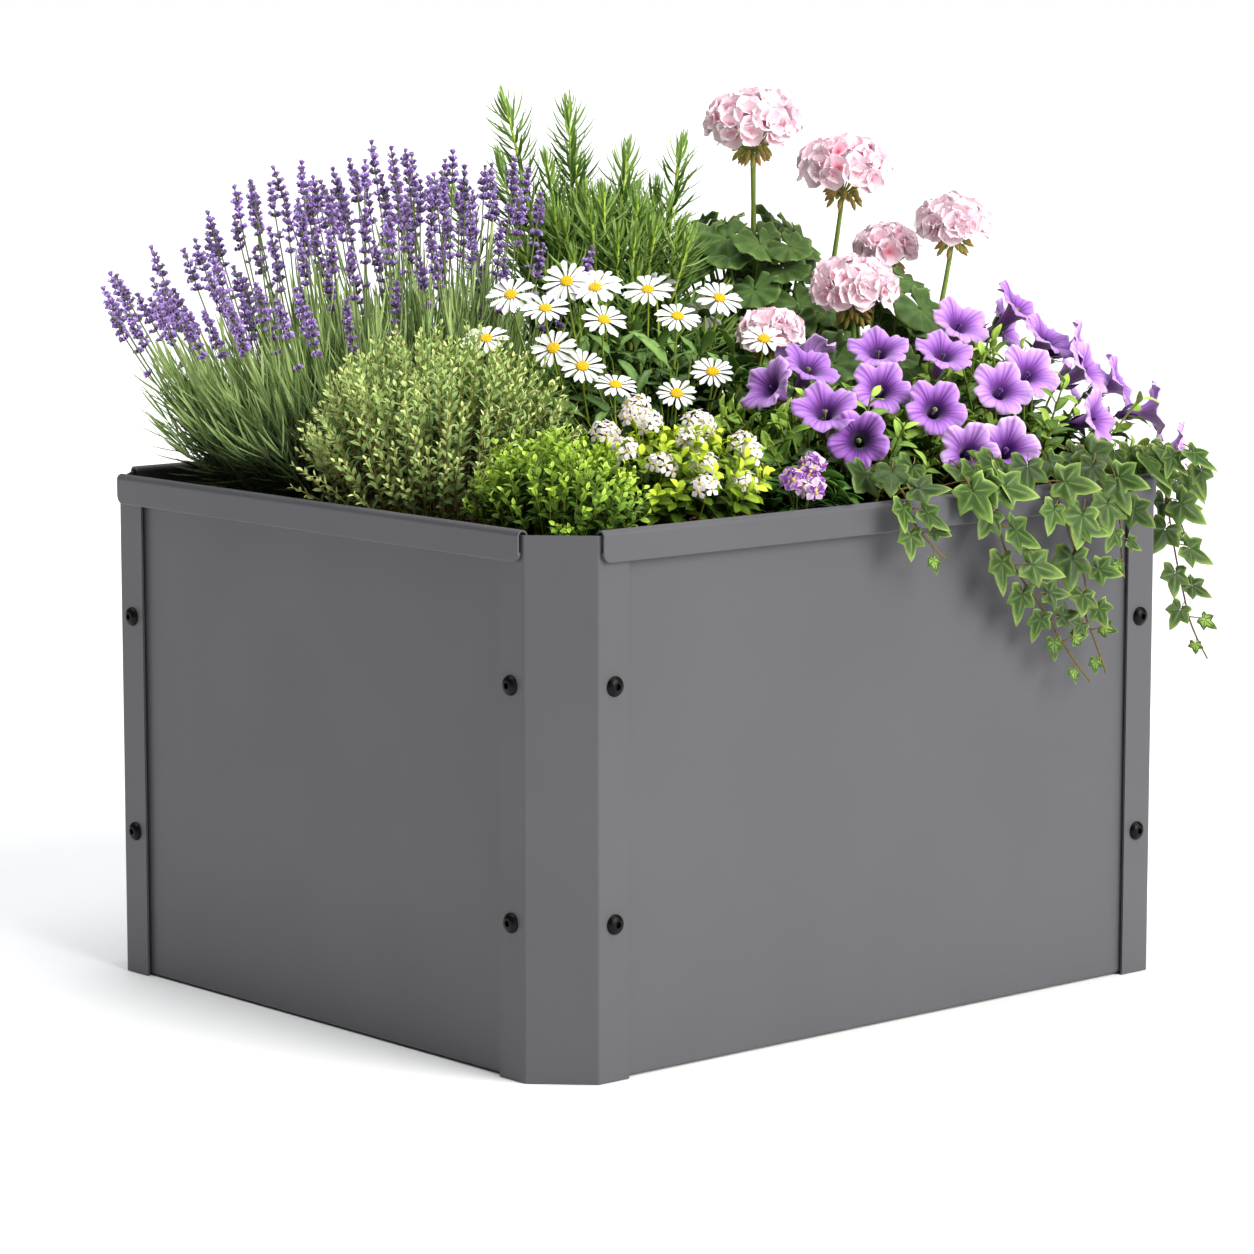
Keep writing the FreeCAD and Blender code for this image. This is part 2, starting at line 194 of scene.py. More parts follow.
def thick(pattern, thickness, under=0.0):
    """Closed two-sided form of an open surface; under shifts the lower side's tint."""
    n = len(pattern.points)
    shift = point_normals(pattern) * thickness / 2
    edges = {}
    for faces in (pattern.quads, pattern.tris):
        for face in faces:
            for a, b in zip(face, np.roll(face, -1)):
                edges[int(a), int(b)] = True
    rim = [(b, a, a + n, b + n) for a, b in edges if (b, a) not in edges]
    quads = np.concatenate([pattern.quads, pattern.quads[:, ::-1] + n, np.array(rim, int)])
    tris = np.concatenate([pattern.tris, pattern.tris[:, ::-1] + n])
    return Pattern(np.concatenate([pattern.points + shift, pattern.points - shift]), quads,
                   np.concatenate([pattern.tint, pattern.tint + under]),
                   np.concatenate([pattern.along, pattern.along]), tris)


# ---- a growth gathers copies into one piece ----
class Growth:
    """Copies of patterns and stems, joined in one mesh with a palette map.

    The palette map's U is the tissue, its V how dark or light the copy is: random tone, and painted shade
    where the callers make lower or deeper copies darker.
    """

    def __init__(self):
        self.points, self.quads, self.tris, self.palette = [], [], [], []
        self.count = 0

    def take(self, points, quads, tris, tint, shade):
        self.points.append(points)
        self.quads.append(quads + self.count)
        self.tris.append(tris + self.count)
        self.palette.append(np.clip(np.stack([tint, shade], -1), 0.005, 0.995))
        self.count += len(points)

    def add(self, pattern, places, turn, sizes, shades, tints=0.0):
        places = np.asarray(places, float).reshape(-1, 3)
        k, n = len(places), len(pattern.points)
        sizes = np.asarray(sizes, float)
        sizes = sizes.reshape(-1, 1) if sizes.ndim < 2 else sizes
        sizes = np.broadcast_to(sizes, (k, 3) if sizes.shape[1] == 3 else (k, 1))
        shades = np.broadcast_to(np.asarray(shades, float), k)
        tints = np.broadcast_to(np.asarray(tints, float), k)
        points = places[:, None] + (pattern.points[None] * sizes[:, None]) @ turn
        step = np.arange(k)[:, None, None] * n
        self.take(points.reshape(-1, 3), (pattern.quads[None] + step).reshape(-1, 4),
                  (pattern.tris[None] + step).reshape(-1, 3),
                  (pattern.tint[None] + tints[:, None]).ravel(),
                  (0.04 + 0.86 * shades[:, None] + 0.08 * pattern.along[None]).ravel())

    def stems(self, stems, thickness, sides, rows, tint=(0.03, 0.1), shade=0.5):
        """Tapered stems along (foot, middle, tip) curves; thickness is (at the foot, at the tip)."""
        k = len(stems[0])
        t = np.linspace(0, 1, rows)
        at, run = on_stems(stems, t)
        side, other = (x[:, :, None] for x in beside(run))
        angle = circle(sides)[:, None]
        thickness = [np.broadcast_to(np.asarray(x, float), k)[:, None] for x in thickness]
        radius = (thickness[0] + (thickness[1] - thickness[0]) * t[None]) / 2
        ring = np.cos(angle) * side + np.sin(angle) * other
        points = at[:, :, None] + ring * radius[:, :, None, None]
        quads = grid_quads(rows, sides, closed=True)[:, ::-1]
        step = np.arange(k)[:, None, None] * rows * sides
        u = np.broadcast_to((tint[0] + (tint[1] - tint[0]) * t)[None, :, None], points.shape[:3])
        v = np.broadcast_to(np.asarray(shade, float), k)[:, None, None]
        v = v + 0.05 * t[None, :, None] + 0.01 * np.arange(sides)
        self.take(points.reshape(-1, 3), (quads[None] + step).reshape(-1, 4),
                  np.zeros((0, 3), int), u.ravel(), v.ravel())

    def piece(self, name, material, slot, *nodes):
        points, palette = np.concatenate(self.points), np.concatenate(self.palette)
        quads, tris = np.concatenate(self.quads), np.concatenate(self.tris)
        corners = np.concatenate([quads.ravel(), tris.ravel()]).astype(np.int32)
        starts = np.concatenate([np.arange(len(quads)) * 4, quads.size + np.arange(len(tris)) * 3])
        mesh = bpy.data.meshes.new(name)
        mesh.vertices.add(len(points))
        mesh.vertices.foreach_set("co", points.astype(np.float32).ravel())
        mesh.loops.add(len(corners))
        mesh.loops.foreach_set("vertex_index", corners)
        mesh.polygons.add(len(starts))
        mesh.polygons.foreach_set("loop_start", starts.astype(np.int32))
        mesh.update(calc_edges=True)
        layer = mesh.uv_layers.new(name="OFBake")
        layer.data.foreach_set("uv", palette[corners].astype(np.float32).ravel())
        mesh.validate()
        mesh.shade_smooth()
        mesh.materials.append(material)
        placed(name, mesh, slot, *nodes)


def placed(name, mesh, slot, *nodes):
    """Piece of the visual model, in the place of these CAD nodes."""
    ob = bpy.data.objects.new(name, mesh)
    scene.collection.objects.link(ob)
    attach(ob, "root")
    if nodes:
        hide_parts(*nodes)
    return ob


# ---- stems ----
def arching(foot, tip, spread, rise):
    """Stems as (foot, middle, tip); the middle is this share of the way out and of the way up."""
    foot, tip = np.asarray(foot, float).reshape(-1, 3), np.asarray(tip, float).reshape(-1, 3)
    middle = foot + (tip - foot) * np.array([spread, spread, rise])
    return foot, middle, tip


def on_stems(stems, t):
    """Points and directions at t, one row for all the stems or one row for each."""
    foot, middle, tip = (x[:, None] for x in stems)
    t = np.broadcast_to(np.asarray(t, float), (len(stems[0]), np.shape(t)[-1]))[..., None]
    at = (1 - t) ** 2 * foot + 2 * t * (1 - t) * middle + t ** 2 * tip
    return at, unit(2 * (1 - t) * (middle - foot) + 2 * t * (tip - middle) + 1e-6)


def whorls(stems, t, count, lean, twist, rough):
    """Leaves round the stems: places, directions and upper sides, count of them at each t.

    lean is the angle between leaf and stem, one value or one for each t.
    """
    at, run = on_stems(stems, t)
    k, m = at.shape[:2]
    side, other = (x[:, :, None] for x in beside(run))
    start = rng.uniform(0, 2 * math.pi, (k, 1, 1))
    angle = start + twist * np.arange(m)[None, :, None] + 2 * math.pi / count * np.arange(count)
    out = np.cos(angle)[..., None] * side + np.sin(angle)[..., None] * other
    lean = np.broadcast_to(np.asarray(lean, float), (k, m))[..., None, None]
    run = run[:, :, None]
    along = run * np.cos(lean) + out * np.sin(lean)
    upper = run * np.sin(lean) - out * np.cos(lean)
    places = np.broadcast_to(at[:, :, None], along.shape).reshape(-1, 3)
    along = jitter(along.reshape(-1, 3), rough)
    return places, along, upper.reshape(-1, 3)


def spun(facing):
    """Turns that take a pattern's Y to facing, and are spun about it by chance."""
    return turns(facing, jitter(facing, 0.9))


def spaced(stems, first, step, number):
    """Places on each stem, the first this far from its tip and the others step apart."""
    length = np.linalg.norm(stems[2] - stems[0], axis=-1)[:, None]
    return np.clip(1 - (first + step * np.arange(number)) / length, 0.02, 1.0)


def scattered(count, low, high):
    """Places spread evenly in a rectangle, none much nearer to another than the rest."""
    low, high = np.asarray(low, float), np.asarray(high, float)
    size = high - low
    across = max(1, round(math.sqrt(count * size[0] / size[1])))
    rows = math.ceil(count / across)
    i = np.arange(across * rows)
    cell = np.stack([i % across, i // across], -1) + rng.uniform(0.05, 0.95, (len(i), 2))
    keep = rng.permutation(len(i))[:count]
    return (low + size * cell / np.array([across, rows]))[keep]


def dome(count, low, high, base, top, power=2.2, hollow=0.9):
    """Shoot tips over a rounded bush: low and high are its plan, base and top its heights."""
    xy = scattered(count, low, high)
    centre, half = (np.asarray(low) + high) / 2, (np.asarray(high) - low) / 2
    q = (xy - centre) / half
    reach = np.maximum(np.abs(q).max(-1), 1e-6)
    q = q / np.maximum(1, np.linalg.norm(q, axis=-1, keepdims=True) / reach.clip(0, 1)[:, None])
    r = np.linalg.norm(q, axis=-1)
    height = (1 - np.clip(r, 0, 0.995) ** power) ** (1 / power)
    z = base + (top - base) * height * rng.uniform(hollow, 1.0, count)
    return np.concatenate([centre + q * half, z[:, None]], -1)


def feet(tips, centre, gather):
    """Where shoots with these tips leave the bed: gather is 0 at the centre, 1 below the tips."""
    xy = np.asarray(centre) + gather * (tips[:, :2] - np.asarray(centre))
    xy = xy + rng.normal(0, 0.004, xy.shape)
    return np.concatenate([xy, np.full((len(xy), 1), BED)], -1)


# ---- materials ----
def shader(name, roughness, **sockets):
    """New material, its node tree and its surface; sockets are the surface's own constants."""
    material = bpy.data.materials.new(name)
    material.use_nodes = True
    tree = material.node_tree
    surface = tree.nodes["Principled BSDF"]
    surface.inputs["Roughness"].default_value = roughness
    for socket, value in sockets.items():
        surface.inputs[socket.replace("_", " ")].default_value = value
    return material, tree, surface


def add_node(tree, kind, **values):
    """New node; each value is put in the input of that name, or else in the property."""
    node = tree.nodes.new(kind)
    for name, value in values.items():
        if name in node.inputs:
            node.inputs[name].default_value = value
        else:
            setattr(node, name, value)
    return node


def noise(tree, scale, detail=3.0, rough=0.5):
    """Noise in the object's own metres."""
    place = add_node(tree, "ShaderNodeTexCoord").outputs["Object"]
    texture = add_node(tree, "ShaderNodeTexNoise", Scale=scale, Detail=detail, Roughness=rough)
    tree.links.new(place, texture.inputs["Vector"])
    return texture.outputs["Fac"]


def ramp(tree, value, stops):
    """Colour of the value along (place, colour) stops."""
    node = add_node(tree, "ShaderNodeValToRGB")
    elements = node.color_ramp.elements
    while len(elements) > 1:
        elements.remove(elements[-1])
    elements[0].position, elements[0].color = stops[0]
    for place, colour in stops[1:]:
        elements.new(place).color = colour
    tree.links.new(value, node.inputs["Fac"])
    return node.outputs["Color"]


def times(tree, a, b):
    """Product of two colours."""
    node = add_node(tree, "ShaderNodeMix", data_type="RGBA", blend_type="MULTIPLY")
    node.inputs["Factor"].default_value = 1.0
    tree.links.new(a, node.inputs[6])
    tree.links.new(b, node.inputs[7])
    return node.outputs[2]


def spread(tree, value, low, high):
    """A noise value brought from its usual range to this one."""
    node = add_node(tree, "ShaderNodeMapRange", **{"From Min": 0.25, "From Max": 0.75,
                                                   "To Min": low, "To Max": high})
    tree.links.new(value, node.inputs["Value"])
    return node.outputs["Result"]


def bump(tree, surface, height, distance, strength):
    """Relief of the surface, distance deep between height 0 and 1."""
    node = add_node(tree, "ShaderNodeBump", Strength=strength, Distance=distance)
    tree.links.new(height, node.inputs["Height"])
    tree.links.new(node.outputs["Normal"], surface.inputs["Normal"])


def grey(level):
    return (level, level, level, 1.0)


def tissue(name, tones, dark=0.62, light=1.3, mottle=0.12, grain=900.0, relief=0.00012,
           roughness=0.6, **sockets):
    """Plant material: tones along the palette's U, shade along its V, fine mottling and grain.

    A tone is its place on the palette and its red, green and blue.
    """
    material, tree, surface = shader(name, roughness, **{"Specular_IOR_Level": 0.2, **sockets})
    palette = add_node(tree, "ShaderNodeUVMap", uv_map="OFBake").outputs["UV"]
    parts = add_node(tree, "ShaderNodeSeparateXYZ")
    tree.links.new(palette, parts.inputs[0])
    colour = ramp(tree, parts.outputs["X"], [(place, linear(*rgb)) for place, *rgb in tones])
    shade = ramp(tree, parts.outputs["Y"], [(0.0, grey(dark)), (1.0, grey(light))])
    fine = ramp(tree, noise(tree, 260.0),
                [(0.25, grey(1 - mottle)), (0.75, grey(1 + mottle))])
    tree.links.new(times(tree, times(tree, colour, shade), fine), surface.inputs["Base Color"])
    rough = spread(tree, noise(tree, 400.0), roughness - 0.08, roughness + 0.08)
    tree.links.new(rough, surface.inputs["Roughness"])
    bump(tree, surface, noise(tree, grain, 2.0), relief, 0.6)
    return material


# ---- camera, floor and light ----
CAMERA_PLACE = (-2.5135, -2.8651, 0.8401)
CAMERA_DOWN = 8.11         # degrees below level
CAMERA_TURN = -41.1        # degrees about Z from looking along +Y
CAMERA_LENS = 127.5        # mm, on a sensor 36 mm wide
FLOOR_RADIUS = 60.0
FLOOR_SIDES = 64
FLOOR_LEVEL = -0.0004      # just below the feet

camera = bpy.data.objects.new("camera", bpy.data.cameras.new("camera"))
scene.collection.objects.link(camera)
camera.location = CAMERA_PLACE
camera.rotation_euler = (math.radians(90 - CAMERA_DOWN), 0, math.radians(CAMERA_TURN))
camera.data.lens = CAMERA_LENS
camera.data.sensor_width = 36.0
camera.data.clip_end = 200.0
scene.camera = camera
scene.view_settings.view_transform = "Standard"

floor_mesh = bpy.data.meshes.new("floor")
ring = circle(FLOOR_SIDES)
floor_points = np.stack([FLOOR_RADIUS * np.cos(ring), FLOOR_RADIUS * np.sin(ring),
                         np.full(FLOOR_SIDES, FLOOR_LEVEL)], -1)
floor_mesh.from_pydata(floor_points.tolist(), [], [list(range(FLOOR_SIDES))])
floor = bpy.data.objects.new("floor", floor_mesh)
scene.collection.objects.link(floor)
floor_paint, floor_tree, floor_surface = shader("floor_paint", 0.85, Specular_IOR_Level=0.1)
floor_colour = ramp(floor_tree, noise(floor_tree, 3.0), [(0.3, grey(0.9)), (0.7, grey(0.92))])
floor_tree.links.new(floor_colour, floor_surface.inputs["Base Color"])
floor_mesh.materials.append(floor_paint)


def sunlight(name, source, strength, softness, colour):
    """Soft light that comes from the direction source, from a disc softness degrees wide."""
    source = unit(np.array(source))
    lamp = bpy.data.objects.new(name, bpy.data.lights.new(name, "SUN"))
    lamp.data.energy = strength
    lamp.data.angle = math.radians(softness)
    lamp.data.color = colour
    lamp.rotation_euler = (math.acos(source[2]), 0, math.atan2(source[0], -source[1]))
    scene.collection.objects.link(lamp)


sunlight("key", (0.22, -1.0, 0.6), 3.85, 44, (1.0, 0.985, 0.96))
sunlight("overhead", (0.1, 0.1, 1.0), 2.9, 60, (0.97, 0.985, 1.0))

world = bpy.data.worlds.new("studio")
scene.world = world
world.use_nodes = True
sky = world.node_tree
backdrop = add_node(sky, "ShaderNodeBackground", Color=grey(1.0), Strength=1.0)
fill = add_node(sky, "ShaderNodeBackground", Color=(0.97, 0.985, 1.0, 1.0), Strength=0.16)
seen = add_node(sky, "ShaderNodeLightPath")
either = add_node(sky, "ShaderNodeMixShader")
sky.links.new(seen.outputs["Is Camera Ray"], either.inputs[0])
sky.links.new(fill.outputs[0], either.inputs[1])
sky.links.new(backdrop.outputs[0], either.inputs[2])
sky.links.new(either.outputs[0], sky.nodes["World Output"].inputs["Surface"])


# ---- the box ----
def give(material, *starts):
    """Puts the material in every slot of the CAD nodes whose names start so."""
    for name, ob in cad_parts.items():
        if name.startswith(starts):
            if not ob.material_slots:
                ob.data.materials.append(material)
            for place in ob.material_slots:
                place.material = material


def coated(name, colour, roughness, mottle=0.04, gloss=0.45):
    """Powder-coated sheet: even colour with faint clouds, orange peel and worn sheen."""
    material, tree, surface = shader(name, roughness, Specular_IOR_Level=gloss)
    low = tuple(c * (1 - mottle) for c in colour[:3]) + (1.0,)
    high = tuple(c * (1 + mottle) for c in colour[:3]) + (1.0,)
    clouds = ramp(tree, noise(tree, 7.0, 4.0), [(0.3, low), (0.7, high)])
    speck = ramp(tree, noise(tree, 1600.0, 1.0), [(0.35, grey(0.95)), (0.65, grey(1.05))])
    tree.links.new(times(tree, clouds, speck), surface.inputs["Base Color"])
    tree.links.new(spread(tree, noise(tree, 11.0, 3.0), roughness - 0.03, roughness + 0.04),
                   surface.inputs["Roughness"])
    bump(tree, surface, noise(tree, 850.0, 2.0), 0.00003, 0.5)
    return material


def bare_metal(name, dark, light, roughness, scale):
    """Plated or galvanised steel, with its grain in colour, gloss and relief."""
    material, tree, surface = shader(name, roughness, Metallic=1.0)
    grain = noise(tree, scale, 4.0, 0.6)
    tree.links.new(ramp(tree, grain, [(0.3, dark), (0.7, light)]), surface.inputs["Base Color"])
    tree.links.new(spread(tree, grain, roughness - 0.08, roughness + 0.1),
                   surface.inputs["Roughness"])
    bump(tree, surface, grain, 0.00004, 0.5)
    return material


def loose(name, tones, scale, relief, roughness=0.9):
    """Rubber or earth: broken colour with matching relief."""
    material, tree, surface = shader(name, roughness, Specular_IOR_Level=0.3)
    grain = noise(tree, scale, 6.0, 0.65)
    tree.links.new(ramp(tree, grain, tones), surface.inputs["Base Color"])
    tree.links.new(spread(tree, grain, roughness - 0.08, roughness + 0.05),
                   surface.inputs["Roughness"])
    bump(tree, surface, grain, relief, 0.8)
    return material


give(coated("powder_coat_grey", linear(81, 81, 85), 0.42), "post_", "panel_")
give(coated("black_oxide", linear(5, 5, 6), 0.36, 0.1, gloss=0.15), "bolts")
give(bare_metal("zinc_plate_steel", linear(150, 152, 156), linear(190, 192, 195), 0.32, 300.0),
     "washers", "nuts")
give(bare_metal("galvanised_steel", linear(128, 132, 135), linear(178, 181, 183), 0.5, 60.0),
     "base_rail", "base_tray")
give(loose("epdm_rubber", [(0.3, linear(16, 16, 17)), (0.7, linear(30, 30, 31))], 500.0, 0.00005,
           0.8), "gasket")
give(loose("potting_soil", [(0.3, linear(26, 17, 11)), (0.6, linear(58, 40, 27)),
                            (0.8, linear(86, 62, 44))], 160.0, 0.002), "soil")


# ---- membrane, a cloth laid on the drainage layer ----
def plan_of(node):
    """Half sizes of a filling with cut-off corners, and where the cut begins along X."""
    low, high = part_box(node)
    points = np.array([tuple(v.co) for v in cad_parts[node].data.vertices])
    front = points[np.isclose(points[:, 1], low[1], atol=1e-5)]
    return high[0], high[1], front[:, 0].max()


def chamfered(x, y, most):
    """Moves a grid's points in until |x| + |y| is no more than most, which cuts off its corners."""
    over = np.maximum(0, np.abs(x) + np.abs(y) - most) / 2
    return x - np.sign(x) * over, y - np.sign(y) * over


def laid_cloth():
    half_x, half_y, cut_x = plan_of("membrane")
    low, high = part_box("membrane")
    rows, cols = 41, 47
    gx, gy = np.meshgrid(np.linspace(-half_x, half_x, cols), np.linspace(-half_y, half_y, rows))
    x, y = chamfered(gx.ravel(), gy.ravel(), cut_x + half_y)
    middle = (low[2] + high[2]) / 2
    z = middle + 0.0001 * np.sin(38 * x + 5 * np.cos(21 * y)) * np.cos(31 * y)
    points = np.stack([x, y, z], -1)
    sheet = thick(Pattern(points, grid_quads(rows, cols), 0.0), 0.0009)
    mesh = bpy.data.meshes.new("membrane_cloth")
    mesh.from_pydata(sheet.points.tolist(), [], sheet.quads.tolist())
    mesh.shade_smooth()
    material, tree, surface = shader("geotextile_felt", 0.95, Sheen_Weight=0.3)
    fibres = noise(tree, 900.0, 5.0, 0.7)
    tree.links.new(ramp(tree, fibres, [(0.3, linear(176, 176, 172)), (0.7, linear(222, 221, 216))]),
                   surface.inputs["Base Color"])
    bump(tree, surface, fibres, 0.0002, 0.8)
    mesh.materials.append(material)
    cloth = placed("membrane_cloth", mesh, "geotextile", "membrane")


laid_cloth()


# ---- drainage pebbles and bark mulch ----
PEBBLES, PEBBLE_FORMS = 1500, 4
CHIPS, CHIP_FORMS = 4200, 8


def lumpy(sides, rows, squash, roughness, seed):
    """Closed irregular stone or chip, about 1 across, flattened along Z."""
    local = np.random.default_rng(seed)
    angle = circle(sides)
    points = []
    for k in range(rows):
        polar = math.pi * (k + 0.5) / rows
        radius = 0.5 * math.sin(polar) * (1 + local.uniform(-roughness, roughness, sides))
        height = -0.5 * squash * math.cos(polar) * (1 + local.uniform(-0.25, 0.25, sides))
        points.append(np.stack([radius * np.cos(angle), radius * np.sin(angle), height], -1))
    # tint rises from 0 on the underside to 0.25 on top: painted shade, so each stone or chip is darker
    # underneath
    tint = np.repeat(np.linspace(0.0, 0.25, rows), sides)
    points.append([[0, 0, -0.5 * squash], [0, 0, 0.5 * squash]])
    last = rows * sides
    around = np.arange(sides)
    after = (around + 1) % sides
    bottom = np.stack([after, around, 0 * around + last], -1)
    top = np.stack([around, after, 0 * around + 1], -1) + (rows - 1) * sides
    top[:, 2] = last + 1
    points = np.concatenate(points)
    return Pattern(points, grid_quads(rows, sides, closed=True), np.append(tint, [0.0, 0.25]),
                   points[:, 0] + 0.5, np.concatenate([bottom, top]))


def inside_plan(xy, plan, margin):
    """True for points that are more than margin inside a plan with cut-off corners."""
    half_x, half_y, cut_x = plan
    x, y = np.abs(xy[:, 0]), np.abs(xy[:, 1])
    return (x < half_x - margin) & (y < half_y - margin) & (x + y < cut_x + half_y - 1.4 * margin)


def strewn(count, plan):
    """Places over the whole plan, some of them beyond its cut-off corners."""
    half = np.array(plan[:2])
    return scattered(count, -half, half)


def filling_bed(growth, node, level, relief, margin):
    """Closed bed with a bumpy top, over the node's plan and down to its underside."""
    half_x, half_y, cut_x = plan_of(node)
    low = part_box(node)[0][2]
    rows, cols = 91, 101
    gx, gy = np.meshgrid(np.linspace(-half_x, half_x, cols), np.linspace(-half_y, half_y, rows))
    x, y = chamfered(gx.ravel() * (1 - margin / half_x), gy.ravel() * (1 - margin / half_y),
                     cut_x + (half_y - margin))
    z = level + relief * (np.sin(61 * x + 2 * np.sin(47 * y)) * np.cos(53 * y)
                          + 0.6 * np.sin(149 * x + 1.3) * np.sin(131 * y) + rng.normal(0, 0.3, len(x)))
    quads = grid_quads(rows, cols)
    edge = np.concatenate([np.arange(cols), np.arange(1, rows) * cols + cols - 1,
                           np.arange(cols - 2, -1, -1) + (rows - 1) * cols,
                           np.arange(rows - 2, 0, -1) * cols])
    n = len(x)
    skirt = np.stack([x[edge], y[edge], 0 * x[edge] + low], -1)
    e = np.arange(len(edge))
    after = (e + 1) % len(edge)
    walls = np.stack([edge[after], edge[e], n + e, n + after], -1)
    points = np.concatenate([np.stack([x, y, z], -1), skirt, [[0, 0, low]]])
    under = np.stack([n + after, n + e, 0 * e + n + len(edge)], -1)
    shade = np.concatenate([rng.uniform(0.1, 0.5, n), np.full(len(edge) + 1, 0.2)])
    tint = 0.12 + 0.1 * np.sin(90 * points[:, 0]) * np.sin(80 * points[:, 1])
    growth.take(points, np.concatenate([quads, walls]), under, tint, shade)


def tumbled(count, tilt):
    """Turns of stones or chips that lie nearly flat, tilt being how far they lean."""
    facing = unit(np.concatenate([rng.normal(0, tilt, (count, 2)), np.ones((count, 1))], -1))
    angle = rng.uniform(0, 2 * math.pi, count)
    return turns(np.stack([np.cos(angle), np.sin(angle), 0 * angle], -1), facing)


def pebbles():
    plan = plan_of("drainage_layer")
    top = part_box("drainage_layer")[1][2]
    growth = Growth()
    filling_bed(growth, "drainage_layer", top - 0.006, 0.0006, 0.0002)
    xy = strewn(PEBBLES, plan)
    xy = xy[inside_plan(xy, plan, 0.009)]
    size = rng.uniform(0.009, 0.015, len(xy))
    place = np.column_stack([xy, top - 0.0004 - size / 2])
    kind = rng.integers(0, PEBBLE_FORMS, len(xy))
    for k in range(PEBBLE_FORMS):
        chosen = kind == k
        growth.add(lumpy(7, 4, 0.9, 0.1, 50 + k), place[chosen], tumbled(chosen.sum(), 0.05),
                   size[chosen], rng.uniform(0, 1, chosen.sum()), rng.uniform(0.1, 0.8, chosen.sum()))
    clay = tissue("expanded_clay", [(0.0, 110, 62, 44), (0.5, 150, 88, 62),
                                    (1.0, 172, 120, 92)],
                  mottle=0.2, grain=1400.0, relief=0.0004, roughness=0.9)
    growth.piece("clay_pebbles", clay, "clay_pebbles", "drainage_layer")


def mulch():
    plan = plan_of("mulch")
    growth = Growth()
    filling_bed(growth, "mulch", BED - 0.003, 0.0012, 0.0004)
    xy = strewn(CHIPS, plan)
    size = rng.uniform(0.007, 0.021, len(xy)) * rng.choice([1.0, 1.35], len(xy), p=[0.85, 0.15])
    small = (size < 0.016) & inside_plan(xy, plan, 0.006)
    keep = small | inside_plan(xy, plan, 0.014)
    xy, size = xy[keep], size[keep]
    place = np.column_stack([xy, BED + rng.uniform(-0.003, 0.004, len(xy))])
    kind = rng.integers(0, CHIP_FORMS, len(xy))
    for k in range(CHIP_FORMS):
        chosen = kind == k
        count = chosen.sum()
        form = np.column_stack([size[chosen] * rng.uniform(0.35, 0.8, count), size[chosen],
                                size[chosen] * rng.uniform(0.8, 1.4, count)])
        growth.add(lumpy(7, 3, 0.2, 0.22, 70 + k), place[chosen], tumbled(count, 0.32), form,
                   rng.uniform(0, 1, count),
                   rng.choice([0.0, 0.25, 0.5, 0.7], count, p=[0.35, 0.35, 0.2, 0.1]))
    bark = tissue("bark_chips", [(0.0, 38, 24, 16), (0.35, 62, 38, 24),
                                 (0.65, 98, 62, 40), (1.0, 142, 100, 68)],
                  mottle=0.3, grain=1100.0, relief=0.0006, roughness=0.85)
    growth.piece("bark_mulch", bark, "bark_mulch", "mulch")


pebbles()
mulch()


# ---- planting: shared outlines and parts ----
def lance(width, widest):
    """Outline of a leaf that is widest at that share of its length and narrows to both ends."""
    power = math.log(0.5) / math.log(widest)
    return lambda t: width * np.sin(math.pi * np.clip(t, 0, 1) ** power) ** 0.85


def paddle(width, end):
    """Outline of a petal that widens, and is rounded off beyond end."""
    return lambda t: width * (0.22 + 0.78 * np.sin(0.5 * math.pi * np.clip(t / end, 0, 1)) ** 1.5) \
        * np.sqrt(np.clip(1 - np.clip((t - end) / (1 - end), 0, 1) ** 2.2, 0.02, 1))


def facing_viewer(count, rough, lift):
    """Directions towards the front-left, where the photo was taken from, and lift up."""
    return jitter(np.tile([-0.62, -0.72, lift], (count, 1)), rough)


def leafy(growth, pattern, stems, t, count, lean, size, low, high, old, young, twist=GOLDEN,
          rough=0.12, spread_size=0.15, clear=None):
    """Leaves round stems; tint goes from old to young up the stem, and shade from low to high, which is
    painted shade that makes the lower leaves darker.

    clear holds (centre, radius) pairs of arrays that leaves are kept out of.
    """
    places, along, upper = whorls(stems, t, count, lean, twist, rough)
    k = len(stems[0])
    t = np.broadcast_to(t, (k, np.shape(t)[-1]))
    rank = np.repeat(((t - t.min()) / max(np.ptp(t), 1e-6)).ravel(), count)
    size = np.repeat(np.broadcast_to(size, t.shape).ravel(), count)
    size = size * rng.uniform(1 - spread_size, 1 + spread_size, len(size))
    # painted shade: lowest leaves get the low shade and leaves near the tip the high one, with a random
    # spread on top
    shade = np.clip(low + (high - low) * rank + rng.normal(0, 0.12, len(rank)), 0, 1)
    tints = old + (young - old) * rank ** 2 + rng.uniform(-0.04, 0.04, len(rank))
    keep = np.ones(len(places), bool)
    if clear is not None:
        centres, radius = clear
        for reach in (0.35, 0.9):
            at = places + along * (reach * size)[:, None]
            keep &= (np.linalg.norm(at[:, None] - centres[None], axis=-1) > radius).all(1)
    growth.add(pattern, places[keep], turns(along, upper)[keep], size[keep], shade[keep],
               tints[keep])


# ---- lavender ----
LAVENDER_MIDDLE = np.array([-0.1, 0.18])
LAVENDER_REACH = 0.275
LAVENDER_TOP = 0.722       # no tip is higher
LAVENDER_LOW = 0.57        # and none is lower
WHORL_SIZES = 0.0061 * np.array([0.7, 0.9, 1.05, 1.1, 1.05, 1.0, 0.95, 0.8])    # from the top down
WHORL_LEANS = [0.3, 0.55, 0.75, 0.85, 0.9, 0.95, 0.95, 0.95]
WHORL_GAPS = [0, 0, 0, 0, 0.05, 0.2, 0.5, 0.7]      # chance that the whorl isn't there
FLORETS = 7                                         # in a whorl


def floret():
    """Lavender floret along Y: a grey-green calyx and the open corolla beyond it."""
    calyx = turned_form(4, [(0.0, 0.07), (0.34, 0.25), (0.74, 0.19)], [0.22, 0.34, 0.46])
    corolla = turned_form(5, [(0.6, 0.12), (0.88, 0.28), (1.0, 0.33)], [0.55, 0.8, 1.0])
    return joined(calyx, corolla)


